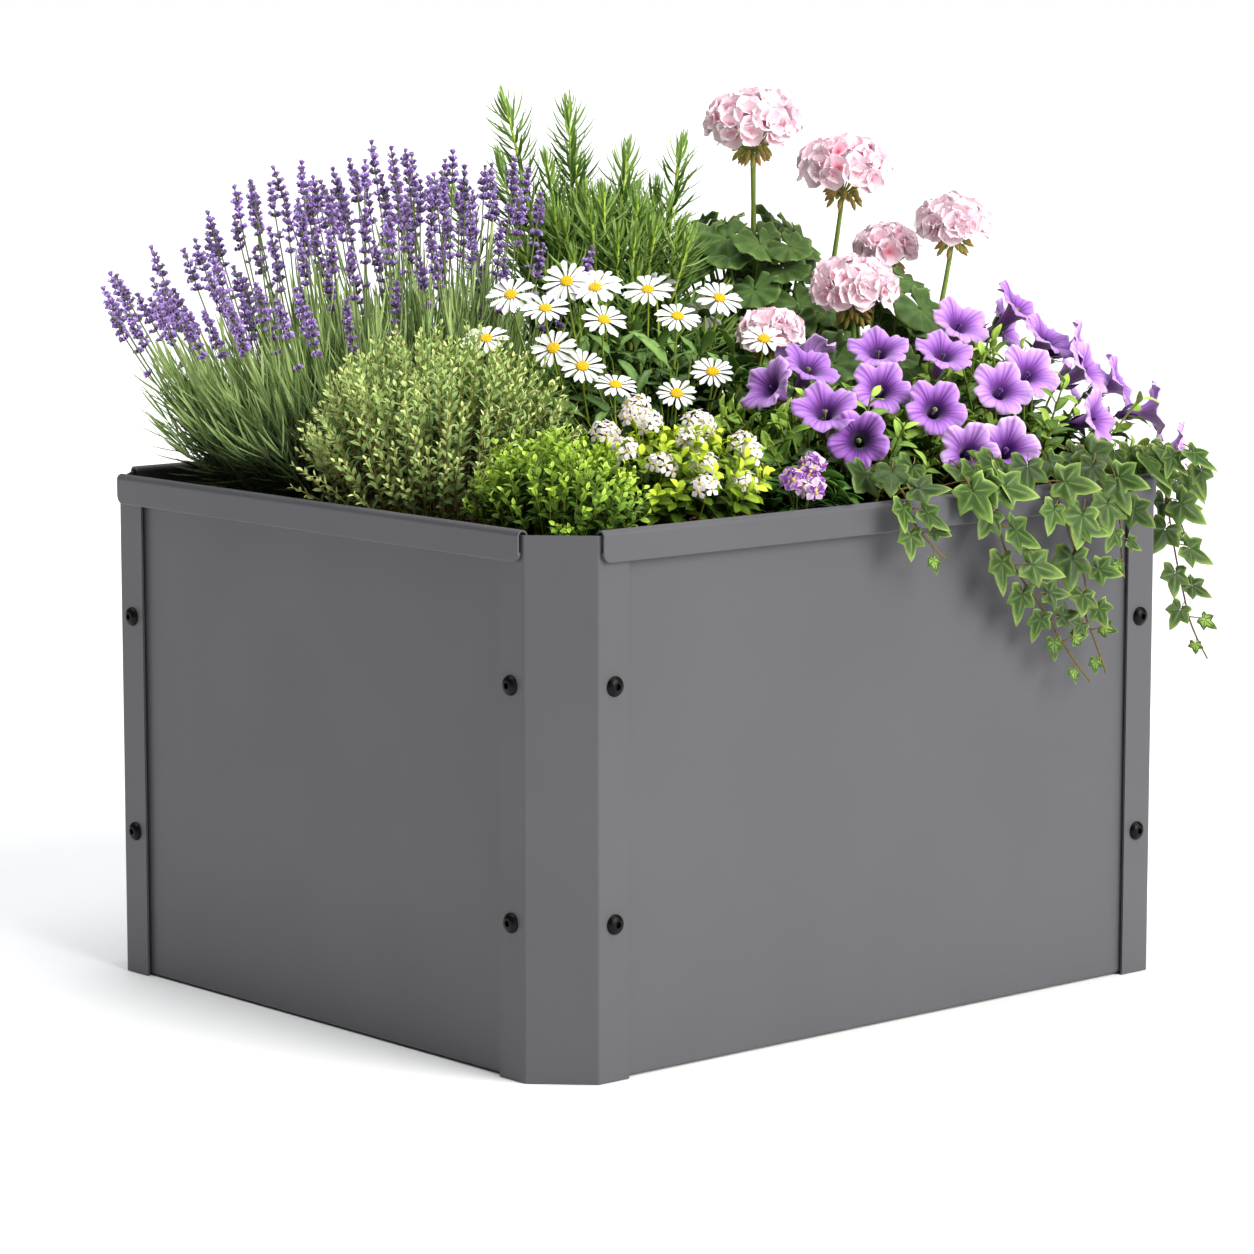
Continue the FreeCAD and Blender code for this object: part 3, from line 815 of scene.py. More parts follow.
def lavender(node, count, low, high):
    """A clump with count spikes; low and high are the plan of their tips."""
    xy = scattered(count, low, high)
    away = np.linalg.norm(xy - LAVENDER_MIDDLE, axis=-1)
    xy = LAVENDER_MIDDLE + (xy - LAVENDER_MIDDLE) * np.minimum(1, LAVENDER_REACH / away)[:, None]
    away = np.minimum(away, LAVENDER_REACH)
    z = LAVENDER_TOP - 1.65 * away ** 2 - 0.6 * np.maximum(0, 0.15 - xy[:, 1])
    z -= np.where(rng.uniform(size=count) < 0.3, rng.uniform(0.05, 0.12, count),
                  rng.uniform(0, 0.045, count))
    z = np.maximum(z, LAVENDER_LOW + rng.uniform(0, 0.03, count))
    tips = np.column_stack([xy, z])
    foot = feet(tips, LAVENDER_MIDDLE, 0.55)
    foot[:, 0] = np.clip(foot[:, 0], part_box(node)[0][0] + 0.095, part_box(node)[1][0] - 0.005)
    stems = arching(foot, tips, 0.62, 0.48)
    spikes = Growth()
    spikes.stems(stems, (0.0018, 0.0013), 4, 7, (0.02, 0.12))
    t = np.concatenate([spaced(stems, 0.003, 0.0062, 5), spaced(stems, 0.0365, 0.0095, 2),
                        spaced(stems, 0.066, 0.018, 1)], -1)
    places, along, upper = whorls(stems, t, FLORETS, WHORL_LEANS, 0.5, 0.22)
    bare = np.repeat(rng.uniform(size=t.shape) < WHORL_GAPS, FLORETS)
    keep = ~bare & (rng.uniform(size=len(places)) > 0.1)
    sizes = np.tile(np.repeat(WHORL_SIZES, FLORETS), count) * rng.uniform(0.8, 1.15, len(places))
    bloom = np.repeat(rng.normal(0.55, 0.16, count), len(places) // count)
    bloom = bloom + rng.normal(0, 0.2, len(places))
    tints = rng.choice([0.0, -0.18, -0.3], len(places), p=[0.6, 0.25, 0.15])
    spikes.add(floret(), places[keep], turns(along[keep], upper[keep]), sizes[keep],
               np.clip(bloom[keep], 0, 1), tints[keep])
    violet = tissue(node + "_bloom", [
        (0.0, 116, 136, 66), (0.14, 104, 118, 74), (0.2, 74, 56, 92),
        (0.42, 122, 90, 154), (0.6, 156, 124, 194), (1.0, 206, 182, 232)],
        dark=0.75, light=1.4, roughness=0.7, Sheen_Weight=0.15)
    spikes.piece(node + "_spikes", violet, "lavender")

    green = Growth()
    narrow = leaf(6, 3, lance(0.029, 0.45), curl=-0.35, fold=0.5)
    leafy(green, narrow, stems, np.linspace(0.04, 0.5, 6), 2, 0.45, 0.04, 0.1, 0.8, 0.1, 0.6,
          math.pi / 2)
    bush = feet(tips, LAVENDER_MIDDLE, 0.74)
    for high_up in (0.28, 0.4, 0.52, 0.62):
        ends = bush + rng.normal(0, 0.012, bush.shape)
        ends[:, 2] = BED + (tips[:, 2] - BED) * high_up * rng.uniform(0.8, 1.1, count)
        shoots = arching(feet(ends, LAVENDER_MIDDLE, 0.72), ends, 0.6, 0.5)
        leafy(green, narrow, shoots, np.linspace(0.25, 1.0, 8), 2, np.linspace(0.95, 0.3, 8), 0.038,
              0.05, 0.95, 0.1, 0.85, math.pi / 2)
        green.stems(shoots, (0.0022, 0.0012), 4, 5, (0.05, 0.12), 0.4)
    grey_green = tissue(node + "_leaf", [
        (0.0, 120, 120, 60), (0.12, 98, 122, 58), (0.2, 60, 84, 38),
        (0.5, 92, 116, 60), (1.0, 150, 170, 108)],
        dark=0.36, light=1.9, roughness=0.75, Sheen_Weight=0.2)
    green.piece(node + "_leaves", grey_green, "lavender", node)


lavender("lavender_left", 66, (-0.385, 0.085), (-0.165, 0.335))
lavender("lavender_back", 68, (-0.165, 0.085), (0.042, 0.345))


# ---- rosemary ----
def rosemary():
    middle = np.array([0.135, 0.2])
    tall = np.array([(0.09, 0.29, 0.745), (0.15, 0.27, 0.74), (0.165, 0.205, 0.7),
                     (0.215, 0.185, 0.705), (0.115, 0.26, 0.69), (0.19, 0.31, 0.7),
                     (0.06, 0.33, 0.66), (0.12, 0.335, 0.69), (0.215, 0.26, 0.67),
                     (0.075, 0.245, 0.67), (0.2, 0.205, 0.665), (0.14, 0.215, 0.66)])
    bushy = dome(54, (0.04, 0.085), (0.25, 0.345), 0.5, 0.668, 2.6, 0.86)
    growth = Growth()
    needle = leaf(5, 3, lance(0.054, 0.42), curl=-0.4, fold=-0.5, tint=(0.0, 0.18))
    for tips, gather, number, size in ((tall, 0.55, 30, 0.033), (bushy, 0.5, 22, 0.03)):
        stems = arching(feet(tips, middle, gather), tips, 0.25, 0.6)
        t = spaced(stems, 0.002, 0.0068, number)
        lean = np.clip(np.linspace(0.25, 4.2, number), 0, 1.05)
        sizes = size * np.clip(np.linspace(0.5, 4.0, number), 0, 1)
        leafy(growth, needle, stems, t, 4, lean, sizes, 0.15, 0.95, 0.22, 0.75, 0.75)
        growth.stems(stems, (0.005, 0.0026), 6, 8, (0.02, 0.14), 0.8)
    green = tissue("rosemary_leaf", [
        (0.0, 92, 74, 40), (0.06, 128, 130, 56), (0.14, 168, 188, 74),
        (0.22, 54, 78, 34), (0.6, 84, 112, 50), (1.0, 150, 176, 96)],
        dark=0.42, light=1.75, roughness=0.5)
    growth.piece("rosemary_bush", green, "rosemary", "rosemary")


rosemary()


# ---- thyme and the low bright green herb ----
def low_bush(node, low, high, top, shoots, middle, pattern, nodes, size, lean, tones, reach,
             gather, hollow, **looks):
    """Rounded bush of many leafy shoots, with opposite leaves turned a quarter from pair to pair.

    Each shoot has this many nodes with leaves, over reach below its tip.
    """
    tips = dome(shoots, low, high, BED + 0.012, top, 2.3, hollow)
    stems = arching(feet(tips, middle, gather), tips, 0.4, 0.6)
    growth = Growth()
    leafy(growth, pattern, stems, spaced(stems, 0.001, reach / nodes, nodes), 2,
          np.linspace(lean[0], lean[1], nodes), size * np.clip(np.linspace(0.6, 1.6, nodes), 0, 1),
          0.1, 0.95, 0.2, 0.8, math.pi / 2, 0.16, 0.2)
    growth.stems(stems, (0.0016, 0.0008), 4, 6, (0.02, 0.13))
    growth.piece(node + "_bush", tissue(node + "_bush_leaf", tones, **looks), node, node)


low_bush("thyme", (-0.366, -0.132), (-0.102, 0.092), 0.575, 340, (-0.235, -0.02),
         leaf(4, 3, lance(0.21, 0.5), curl=0.3, fold=0.25, tint=(0.0, 0.12)),
         13, 0.0096, (0.45, 1.1),
         [(0.0, 112, 84, 50), (0.13, 140, 126, 64), (0.2, 84, 108, 58),
          (0.5, 122, 146, 84), (0.8, 160, 180, 112), (1.0, 216, 214, 146)],
         reach=0.084, hollow=0.62, gather=0.62, dark=0.3, light=1.7, roughness=0.65)
low_bush("green_herb", (-0.335, -0.305), (-0.215, -0.125), 0.505, 150, (-0.275, -0.212),
         leaf(5, 3, lance(0.25, 0.5), curl=0.5, fold=0.35, tint=(0.0, 0.14)),
         9, 0.0108, (0.5, 1.2),
         [(0.0, 104, 112, 46), (0.13, 134, 152, 52), (0.2, 56, 92, 28),
          (0.5, 90, 124, 38), (0.8, 134, 164, 52), (1.0, 184, 204, 92)],
         reach=0.066, hollow=0.7, gather=0.6, dark=0.32, light=1.6, roughness=0.5)


# ---- daisies ----
PETALS = 15
GRAINS = 46                # of the disc


def daisies():
    heads = np.array([
        (-0.085, 0.07, 0.585), (-0.035, 0.055, 0.595), (0.045, 0.04, 0.585), (0.12, 0.03, 0.575),
        (-0.08, 0.03, 0.575), (-0.02, 0.035, 0.59), (0.01, 0.065, 0.59), (-0.04, 0.000, 0.565),
        (0.035, -0.01, 0.565), (-0.125, 0.055, 0.55), (-0.105, -0.01, 0.545), (-0.09, -0.03, 0.53),
        (-0.075, -0.055, 0.515), (-0.015, -0.065, 0.505), (0.035, -0.055, 0.52), (0.095, -0.055, 0.545),
        (0.07, 0.06, 0.585), (0.13, 0.06, 0.56)])
    count = len(heads)
    facing = facing_viewer(count, 0.18, 1.25)
    facing[16:] = jitter([[0.3, 0.6, 0.8]] * 2, 0.1)
    size = np.interp(heads[:, 2], [0.505, 0.56, 0.58], [0.015, 0.0175, 0.0195])
    size = size * rng.uniform(0.95, 1.05, count)
    foot = feet(heads, (0.01, -0.005), 0.5)
    stems = (foot, heads - facing * 0.035 - [0, 0, 0.02], heads - facing * 0.002)
    flowers = Growth()
    petal = leaf(7, 5, paddle(0.148, 0.86), curl=0.22, fold=0.3, tint=(0.62, 0.9))
    turn = spun(facing)
    for k in range(PETALS):
        angle = 2 * math.pi * (k + rng.uniform(-0.14, 0.14, count)) / PETALS
        out = round_about(turn, angle)
        ahead = jitter(out + facing * (0.04 + 0.09 * (k % 2)), 0.04)
        flowers.add(petal, heads + out * 0.0035 + facing * 0.0003 * (k % 2), turns(ahead, facing),
                    size * rng.uniform(0.9, 1.02, count), rng.uniform(0.3, 1.0, count),
                    rng.uniform(-0.02, 0.06, count))
    disc = turned_form(14, [(-0.1, 0.55), (0.08, 0.98), (0.24, 0.86), (0.34, 0.55),
                            (0.36, 0.18), (0.36, 0.02)], [0.02, 0.05, 0.16, 0.25, 0.3, 0.32])
    flowers.add(disc, heads, spun(facing), 0.0058, 0.6)
    grain = turned_form(4, [(0.0, 0.5), (0.8, 0.35), (1.0, 0.05)], [0.1, 0.25, 0.34])
    turn = spun(facing)
    for k in range(GRAINS):
        reach = 0.0054 * math.sqrt((k + 0.5) / GRAINS)
        out = round_about(turn, GOLDEN * k)
        height = 0.0026 * math.sqrt(1 - 0.85 * (k / GRAINS) ** 1.5)
        flowers.add(grain, heads + out * reach + facing * (height - 0.0004),
                    turns(jitter(facing, 0.1), out), 0.0011, 0.4 + 0.5 * rng.uniform(size=count),
                    0.0 if k > 30 else 0.05)
    bloom = tissue("daisy_bloom", [
        (0.0, 214, 162, 14), (0.2, 244, 204, 24), (0.36, 254, 226, 60),
        (0.45, 224, 222, 200), (0.7, 230, 232, 230), (1.0, 248, 248, 247)],
        dark=0.86, light=1.02, mottle=0.03, Sheen_Weight=0.1)
    flowers.piece("daisy_heads", bloom, "daisies")

    green = Growth()
    cup = turned_form(8, [(0.0, 0.1), (0.25, 0.62), (0.55, 1.0)], [0.3, 0.35, 0.5])
    green.add(cup, heads - facing * 0.004, spun(facing), 0.0066, 0.5)
    green.stems(stems, (0.0026, 0.0018), 5, 9, (0.04, 0.14), 0.7)
    blade = thick(leaf(7, 5, lambda t: lance(0.14, 0.6)(t) * (1 + 0.16 * np.sin(26 * t)),
                       curl=0.9, fold=0.3, wave=0.02, tint=(0.16, 0.0)), 0.008)
    clear = (np.concatenate([heads + facing * 0.008, heads + facing * 0.03]), 0.024)
    leafy(green, blade, stems, np.linspace(0.1, 0.48, 5), 1, 0.8, 0.038, 0.2, 0.7, 0.3, 0.6,
          clear=clear)
    tips = dome(76, (-0.115, -0.085), (0.165, 0.085), 0.45, 0.535, 2.6, 0.84)
    shoots = arching(feet(tips, (0.01, -0.01), 0.5), tips, 0.4, 0.6)
    leafy(green, blade, shoots, np.linspace(0.2, 1.0, 8), 1, np.linspace(1.2, 0.5, 8), 0.038,
          0.05, 0.9, 0.26, 0.8, 2.4, clear=clear)
    green.stems(shoots, (0.0026, 0.0014), 4, 6, (0.04, 0.12))
    leaves = tissue("daisy_leaf", [
        (0.0, 124, 146, 46), (0.14, 140, 160, 60), (0.24, 38, 60, 28),
        (0.6, 66, 96, 44), (1.0, 114, 144, 74)], dark=0.45, light=1.4, roughness=0.5)
    green.piece("daisy_leaves", leaves, "daisies", "daisies")


daisies()


# ---- small flower clusters: white alyssum and verbena ----
def small_flower(petals, width, lift, heart):
    """Open flower in the XZ plane, facing along Y, about 1 in radius."""
    petal = leaf(4, 3, paddle(width, 0.8), curl=0.3, fold=-0.2, tint=(0.62, 0.95))
    petals = ringed(petal, circle(petals), (1.0, lift), (0.0, 1.0), (0.08, lift * 0.08))
    centre = turned_form(6, [(-0.02, 0.2), (0.14, 0.17), (0.18, 0.02)],
                         [heart, heart, heart + 0.03])
    return joined(*petals, centre)


def clusters(growth, flower, places, facing, radius, per_head, size, shade, tints=0.0, cap=1.25,
             flat=0.7):
    """Rounded heads of small flowers, spread over the cap round each facing.

    cap is the angle from the head's middle to its edge, and flat its height over its radius.
    """
    turn = spun(facing)
    k = len(places)
    for i in range(per_head):
        reach = math.sqrt((i + 0.5) / per_head) * cap
        angle = GOLDEN * i + rng.uniform(0, 0.8, k)
        out = round_about(turn, angle)
        ahead = jitter(math.cos(reach) * facing + math.sin(reach) * out, 0.12)
        at = places + radius * (math.sin(reach) * out + flat * math.cos(reach) * facing)
        growth.add(flower, at, spun(ahead), size * rng.uniform(0.85, 1.12, k),
                   np.clip(shade + rng.normal(0, 0.15, k), 0, 1), tints)


def alyssum():
    heads = np.array([
        (-0.145, -0.16, 0.5), (-0.145, -0.225, 0.485), (-0.11, -0.195, 0.495), (-0.125, -0.14, 0.505),
        (-0.19, -0.245, 0.47), (-0.16, -0.26, 0.47), (-0.19, -0.175, 0.49), (-0.17, -0.205, 0.5),
        (-0.11, -0.26, 0.475), (-0.2, -0.21, 0.48), (-0.095, -0.235, 0.48), (-0.085, -0.175, 0.49),
        (-0.18, -0.285, 0.455), (-0.135, -0.28, 0.455)])
    facing = facing_viewer(len(heads), 0.22, 1.0)
    flowers = Growth()
    clusters(flowers, small_flower(4, 0.42, 0.12, 0.16), heads, facing, 0.0115, 8, 0.0066, 0.7)
    bloom = tissue("alyssum_bloom", [
        (0.0, 150, 170, 60), (0.25, 222, 196, 60), (0.4, 238, 222, 140),
        (0.62, 238, 226, 222), (1.0, 250, 242, 244)],
        dark=0.84, light=1.04, mottle=0.04)
    flowers.piece("alyssum_clusters", bloom, "alyssum")

    green = Growth()
    foot = feet(heads, (-0.155, -0.2), 0.45)
    green.stems((foot, heads - facing * 0.03 - [0, 0, 0.012], heads), (0.0018, 0.0012), 4, 6,
                shade=0.6)
    blade = thick(leaf(6, 5, lance(0.27, 0.55), curl=0.7, fold=0.3, wave=0.02,
                       tint=(0.12, 0.0)), 0.012)
    tips = dome(54, (-0.213, -0.305), (-0.085, -0.118), BED + 0.02, 0.494, 2.5, 0.88)
    shoots = arching(feet(tips, (-0.155, -0.2), 0.5), tips, 0.45, 0.55)
    leafy(green, blade, shoots, np.linspace(0.3, 1.0, 8), 2, np.linspace(1.25, 0.5, 8),
          np.linspace(0.022, 0.011, 8), 0.1, 0.95, 0.22, 0.9, math.pi / 2, 0.2)
    leaves = tissue("alyssum_leaf", [
        (0.0, 140, 150, 50), (0.14, 140, 164, 44), (0.24, 66, 100, 16),
        (0.6, 118, 146, 24), (1.0, 176, 194, 54)], dark=0.3, light=1.4, roughness=0.5)
    green.piece("alyssum_leaves", leaves, "alyssum", "white_alyssum")


def verbena():
    heads = np.array([(-0.075, -0.295, 0.45), (-0.07, -0.29, 0.465), (-0.085, -0.285, 0.455)])
    facing = facing_viewer(3, 0.1, 0.5)
    flowers = Growth()
    for tints in (0.06, -0.24):
        clusters(flowers, small_flower(5, 0.42, 0.1, 0.1), heads, facing, 0.009, 4, 0.0088, 0.6, tints)
    bloom = tissue("verbena_bloom", [
        (0.0, 232, 214, 96), (0.2, 236, 226, 150), (0.3, 96, 34, 120),
        (0.6, 150, 92, 180), (0.72, 226, 180, 222), (1.0, 248, 236, 246)],
        dark=0.8, light=1.08, mottle=0.06)
    flowers.piece("verbena_heads", bloom, "verbena")
    green = Growth()
    tips = np.concatenate([dome(18, (-0.102, -0.302), (-0.02, -0.246), BED + 0.01, 0.462), heads])
    shoots = arching(feet(tips, (-0.07, -0.27), 0.5), tips, 0.4, 0.6)
    blade = thick(leaf(6, 5, lance(0.3, 0.5), curl=0.6, fold=0.3, tint=(0.12, 0.0)), 0.012)
    leafy(green, blade, shoots, np.linspace(0.35, 0.9, 4), 2, 1.0, 0.023, 0.15, 0.7, 0.25, 0.6,
          math.pi / 2,
          clear=(np.concatenate([heads + facing * 0.01, heads + facing * 0.03]), 0.022))
    green.stems(shoots, (0.0018, 0.0012), 4, 5)
    leaves = tissue("verbena_leaf", [
        (0.0, 110, 120, 60), (0.14, 120, 140, 64), (0.24, 44, 78, 30),
        (0.6, 74, 116, 44), (1.0, 120, 156, 66)], dark=0.55, light=1.25, roughness=0.5)
    green.piece("verbena_leaves", leaves, "verbena", "verbena")


alyssum()
verbena()


# ---- leaves and flowers laid out round a centre ----
def round_leaf(angles, rings, outline, height, tint):
    """Leaf spread round its stalk; angle 0 is the tip, and each function takes (share, angle)."""
    a = np.asarray(angles)[None]
    share = np.concatenate([[0.04], np.linspace(0, 1, rings)[1:]])[:, None]
    r = share * outline(a)
    points = np.stack([r * np.sin(a), r * np.cos(a), height(share, a) + 0 * r], -1).reshape(-1, 3)
    tints = np.broadcast_to(tint(share, a), r.shape).ravel()
    return Pattern(points, grid_quads(rings, a.shape[1]), tints, (share + 0 * a).ravel())


def near(angle, centres, width):
    """1 on any of these directions, falling to 0 over width."""
    gap = np.min([np.abs((angle - c + math.pi) % (2 * math.pi) - math.pi) for c in centres], axis=0)
    return np.exp(-(gap / width) ** 2)


# ---- geraniums ----
RAYS = 34                  # stalks under a head: every second one ends in a hanging bud
LOW_LEAVES = 42            # under the dome of leaves that shows
HEAD_CLEARANCE = 0.022     # no leaf starts nearer than this to a flower head


def geranium_leaf():
    lobes = [2 * math.pi * k / 9 for k in range(-4, 5)]
    angles = np.linspace(-math.pi + 0.1, math.pi - 0.1, 55)

    def outline(a):
        edge = 0.5 * (1 + 0.05 * np.cos(9 * a) + 0.035 * np.cos(27 * a))
        return edge * (1 - 0.45 * np.exp(-((math.pi - np.abs(a)) / 0.35) ** 2))

    def height(share, a):
        return 0.07 * share - 0.1 * share ** 2 + 0.045 * share ** 2 * np.cos(9 * a) \
            + 0.055 * share ** 2 * np.sin(2 * a + 0.7)

    def tint(share, a):
        vein = near(a, lobes, 0.05) * (1 - share)
        return 0.12 + 0.22 * vein + 0.34 * np.clip((share - 0.86) / 0.14, 0, 1) \
            - 0.1 * np.exp(-((share - 0.6) / 0.12) ** 2)

    return thick(round_leaf(angles, 8, outline, height, tint), 0.01, 0.14)


def geranium(node, heads, leaf_count, low, high, top, middle):
    """heads holds (x, y, z, radius) of each flower head; middle is where the plant is rooted."""
    heads = np.asarray(heads, float)
    places, radius = heads[:, :3], heads[:, 3]
    k = len(heads)
    facing = jitter(np.tile([-0.12, -0.16, 1.0], (k, 1)), 0.06)
    petal = leaf(6, 5, paddle(0.46, 0.76), curl=-0.5, fold=0.2, wave=0.07, waves=1.5,
                 tint=(0.0, 0.05))
    petal.tint = petal.tint + np.interp(petal.along, [0, 0.25, 0.6, 1.0], [0.3, 0.5, 0.72, 0.92])
    petals = ringed(petal, circle(5) + 0.2, (1.0, 0.42), (-0.4, 1.0), (0.05, 0.42 * 0.05))
    heart = turned_form(5, [(0.0, 0.05), (0.3, 0.05), (0.36, 0.01)], [0.26, 0.3, 0.34])
    flower = joined(*petals, heart)
    flowers = Growth()
    for i in range(k):
        per_head = round(16 + 800 * radius[i])
        clusters(flowers, flower, places[i:i + 1], facing[i:i + 1], radius[i] - 0.009, per_head,
                 0.0146, 0.5, cap=1.62, flat=0.66)
    bloom = tissue(node + "_bloom", [
        (0.0, 126, 146, 52), (0.12, 156, 146, 70), (0.22, 176, 124, 76),
        (0.28, 238, 104, 122), (0.42, 250, 180, 198), (0.62, 254, 218, 230),
        (1.0, 255, 240, 246)],
        dark=1.0, light=1.12, mottle=0.03, Sheen_Weight=0.15)
    hub = places - facing * 0.55 * radius[:, None]
    bud = turned_form(5, [(0.0, 0.05), (0.25, 0.2), (0.7, 0.17), (1.0, 0.03)],
                      [0.04, 0.08, 0.14, 0.2])
    turn = spun(facing)
    for i in range(RAYS):
        out = round_about(turn, GOLDEN * i)
        if i % 2 == 0:
            end = places + out * (0.25 + 0.6 * (i % 5) / 4) * radius[:, None] - facing * 0.002
        else:
            lift = -0.3 + 1.1 * (i % 6) / 5
            reach = 0.2 * radius[:, None] + rng.uniform(0, 0.003, (k, 1))
            end = hub + (out + facing * lift) * reach
            drooping = jitter(out * 0.7 + facing * (0.4 * lift - 0.9), 0.15)
            flowers.add(bud, end, turns(drooping, out[:, [1, 2, 0]]), 0.0125,
                        rng.uniform(0.5, 1.0, k), rng.uniform(-0.04, 0.06, k))
        flowers.stems((hub, (hub + end) / 2 + out * 0.003, end), (0.0018, 0.0014), 4, 4,
                      (0.03, 0.08), 0.6)
    flowers.piece(node + "_heads", bloom, "geranium")

    green = Growth()
    foot = feet(places, middle, 0.45)
    bend = np.column_stack([0.3 * foot[:, :2] + 0.7 * places[:, :2],
                            0.5 * (foot[:, 2] + places[:, 2])])
    green.stems((foot, bend, hub), (0.0062, 0.0042), 7, 12, shade=0.6)
    tips = np.concatenate([dome(leaf_count, low, high, 0.475, top, 2.0, 0.62),
                           dome(LOW_LEAVES, low, high, 0.43, 0.58, 2.0, 0.5)])
    gap = np.linalg.norm(tips[:, None] - places[None], axis=-1) - radius
    tips = tips[(gap > HEAD_CLEARANCE).all(1)]
    leaf_count = len(tips)
    petioles = arching(feet(tips, middle, 0.35), tips, 0.3, 0.62)
    green.stems(petioles, (0.0034, 0.0024), 5, 8)
    out = tips - np.array([middle[0], middle[1], 0.5])
    out[:, 2] = 0
    reach = np.linalg.norm(out, axis=-1, keepdims=True)
    out = unit(out)
    towards = facing_viewer(leaf_count, 0.1, 0.0)
    normal = jitter(UP * 0.7 + out * (0.3 + 5.0 * reach) + towards * 0.5, 0.22)
    ahead = out - 0.7 * UP
    size = rng.uniform(0.038, 0.056, leaf_count)
    # painted shade: leaves lower in the plant are darker and the highest ones lighter, with a random spread
    green.add(geranium_leaf(), tips, turns(jitter(ahead, 0.2), normal), size,
              np.clip(0.15 + 2.6 * (tips[:, 2] - 0.46) + rng.normal(0, 0.12, leaf_count), 0, 1),
              rng.uniform(0.12, 0.34, leaf_count))
    leaves = tissue(node + "_leaf", [
        (0.0, 104, 124, 50), (0.12, 126, 148, 62), (0.16, 54, 80, 34),
        (0.34, 76, 106, 46), (0.62, 112, 142, 70), (1.0, 164, 188, 116)],
        dark=0.5, light=1.5, roughness=0.62, relief=0.0003, grain=420.0, Sheen_Weight=0.1)
    green.piece(node + "_leaves", leaves, "geranium", node)


geranium("geranium_back",
         [(0.28, 0.16, 0.72, 0.044), (0.33, 0.09, 0.68, 0.042), (0.35, 0.235, 0.71, 0.034)],
         56, (0.22, 0.065), (0.375, 0.315), 0.65, (0.285, 0.165))
geranium("geranium_front",
         [(0.345, -0.035, 0.635, 0.032), (0.32, 0.025, 0.61, 0.029), (0.23, -0.025, 0.58, 0.038),
          (0.135, -0.02, 0.545, 0.028)],
         42, (0.165, -0.075), (0.395, 0.06), 0.6, (0.26, -0.005))


# ---- petunias ----
LOW_SHOOTS = 30            # under the shoots that show
TIP_CLEARANCE = 0.034      # shoots end further than this from the air in front of a flower
LEAF_CLEARANCE = 0.026     # and leaves keep further than this from it


def petunia_flower():
    """Ruffled trumpet of radius 1 that faces along Y, its tube behind it."""
    sides = 120
    angle = circle(sides)
    profile = [(-1.25, 0.1), (-0.95, 0.13), (-0.62, 0.19), (-0.38, 0.24), (-0.24, 0.31),
               (-0.12, 0.42), (-0.02, 0.56), (0.04, 0.71), (0.06, 0.86), (0.04, 1.0)]
    fine = [2 * math.pi * (k + 0.5) / 15 for k in range(15)]
    notch = near(angle, [math.pi * (2 * k + 1) / 5 for k in range(5)], 0.14)
    vein = 0.32 * near(angle, circle(5), 0.045) + 0.2 * near(angle, fine, 0.035)
    points, tints, along = [], [], []
    for y, radius in profile:
        limb = np.clip((radius - 0.3) / 0.7, 0, 1)
        r = radius * (1 + 0.03 * limb * np.cos(5 * angle) - 0.19 * limb ** 2 * notch)
        ruffle = limb ** 2 * (0.06 * np.sin(10 * angle + 0.8) + 0.02 * np.sin(25 * angle)
                              + 0.05 * np.cos(5 * angle) - 0.1 * notch)
        points.append(np.stack([r * np.cos(angle), y + ruffle, r * np.sin(angle)], -1))
        base = np.interp(radius, [0.19, 0.31, 0.42, 0.62, 0.86, 1.0],
                         [0.24, 0.24, 0.4, 0.62, 0.72, 0.86])
        tints.append(np.maximum(base - vein * (1 - 0.4 * limb) * (radius > 0.24), 0.24))
        along.append(np.full(sides, radius))
    cup = Pattern(np.concatenate(points), grid_quads(len(profile), sides, closed=True),
                  np.concatenate(tints), np.concatenate(along))
    flower = thick(cup, 0.02, 0.06)
    n = len(cup.points)
    outside = np.linspace(0.42, 0.82, len(profile)).repeat(sides)
    outside = outside - 0.12 * np.tile(near(angle, fine, 0.06), len(profile))
    first_inside = faces_in(flower, n)
    flower.tint[:n] = np.where(first_inside, cup.tint, outside)
    flower.tint[n:] = np.where(first_inside, outside, cup.tint)
    calyx = turned_form(5, [(-1.32, 0.04), (-1.2, 0.16), (-0.95, 0.15)], [0.03, 0.03, 0.06])
    sepal = leaf(4, 3, lance(0.16, 0.4), curl=0.4, fold=0.3, tint=(0.02, 0.05))
    sepals = ringed(sepal, [2 * math.pi * (k + 0.3) / 5 for k in range(5)],
                    (0.75, 1.0), (1.0, -0.7), (0.1, -1.15), 0.62)
    anthers = turned_form(6, [(-0.5, 0.03), (-0.2, 0.05), (-0.12, 0.09), (-0.06, 0.02)],
                          [0.09, 0.09, 0.1, 0.1])
    return joined(flower, calyx, anthers, *sepals)


def faces_in(flower, n):
    """True where the first n points of a two-sided trumpet lie on its inner side."""
    radius = np.hypot(flower.points[:, 0], flower.points[:, 2])
    height = flower.points[:, 1]
    return np.where(radius[:n] > 0.45, height[:n] > height[n:], radius[:n] < radius[n:])


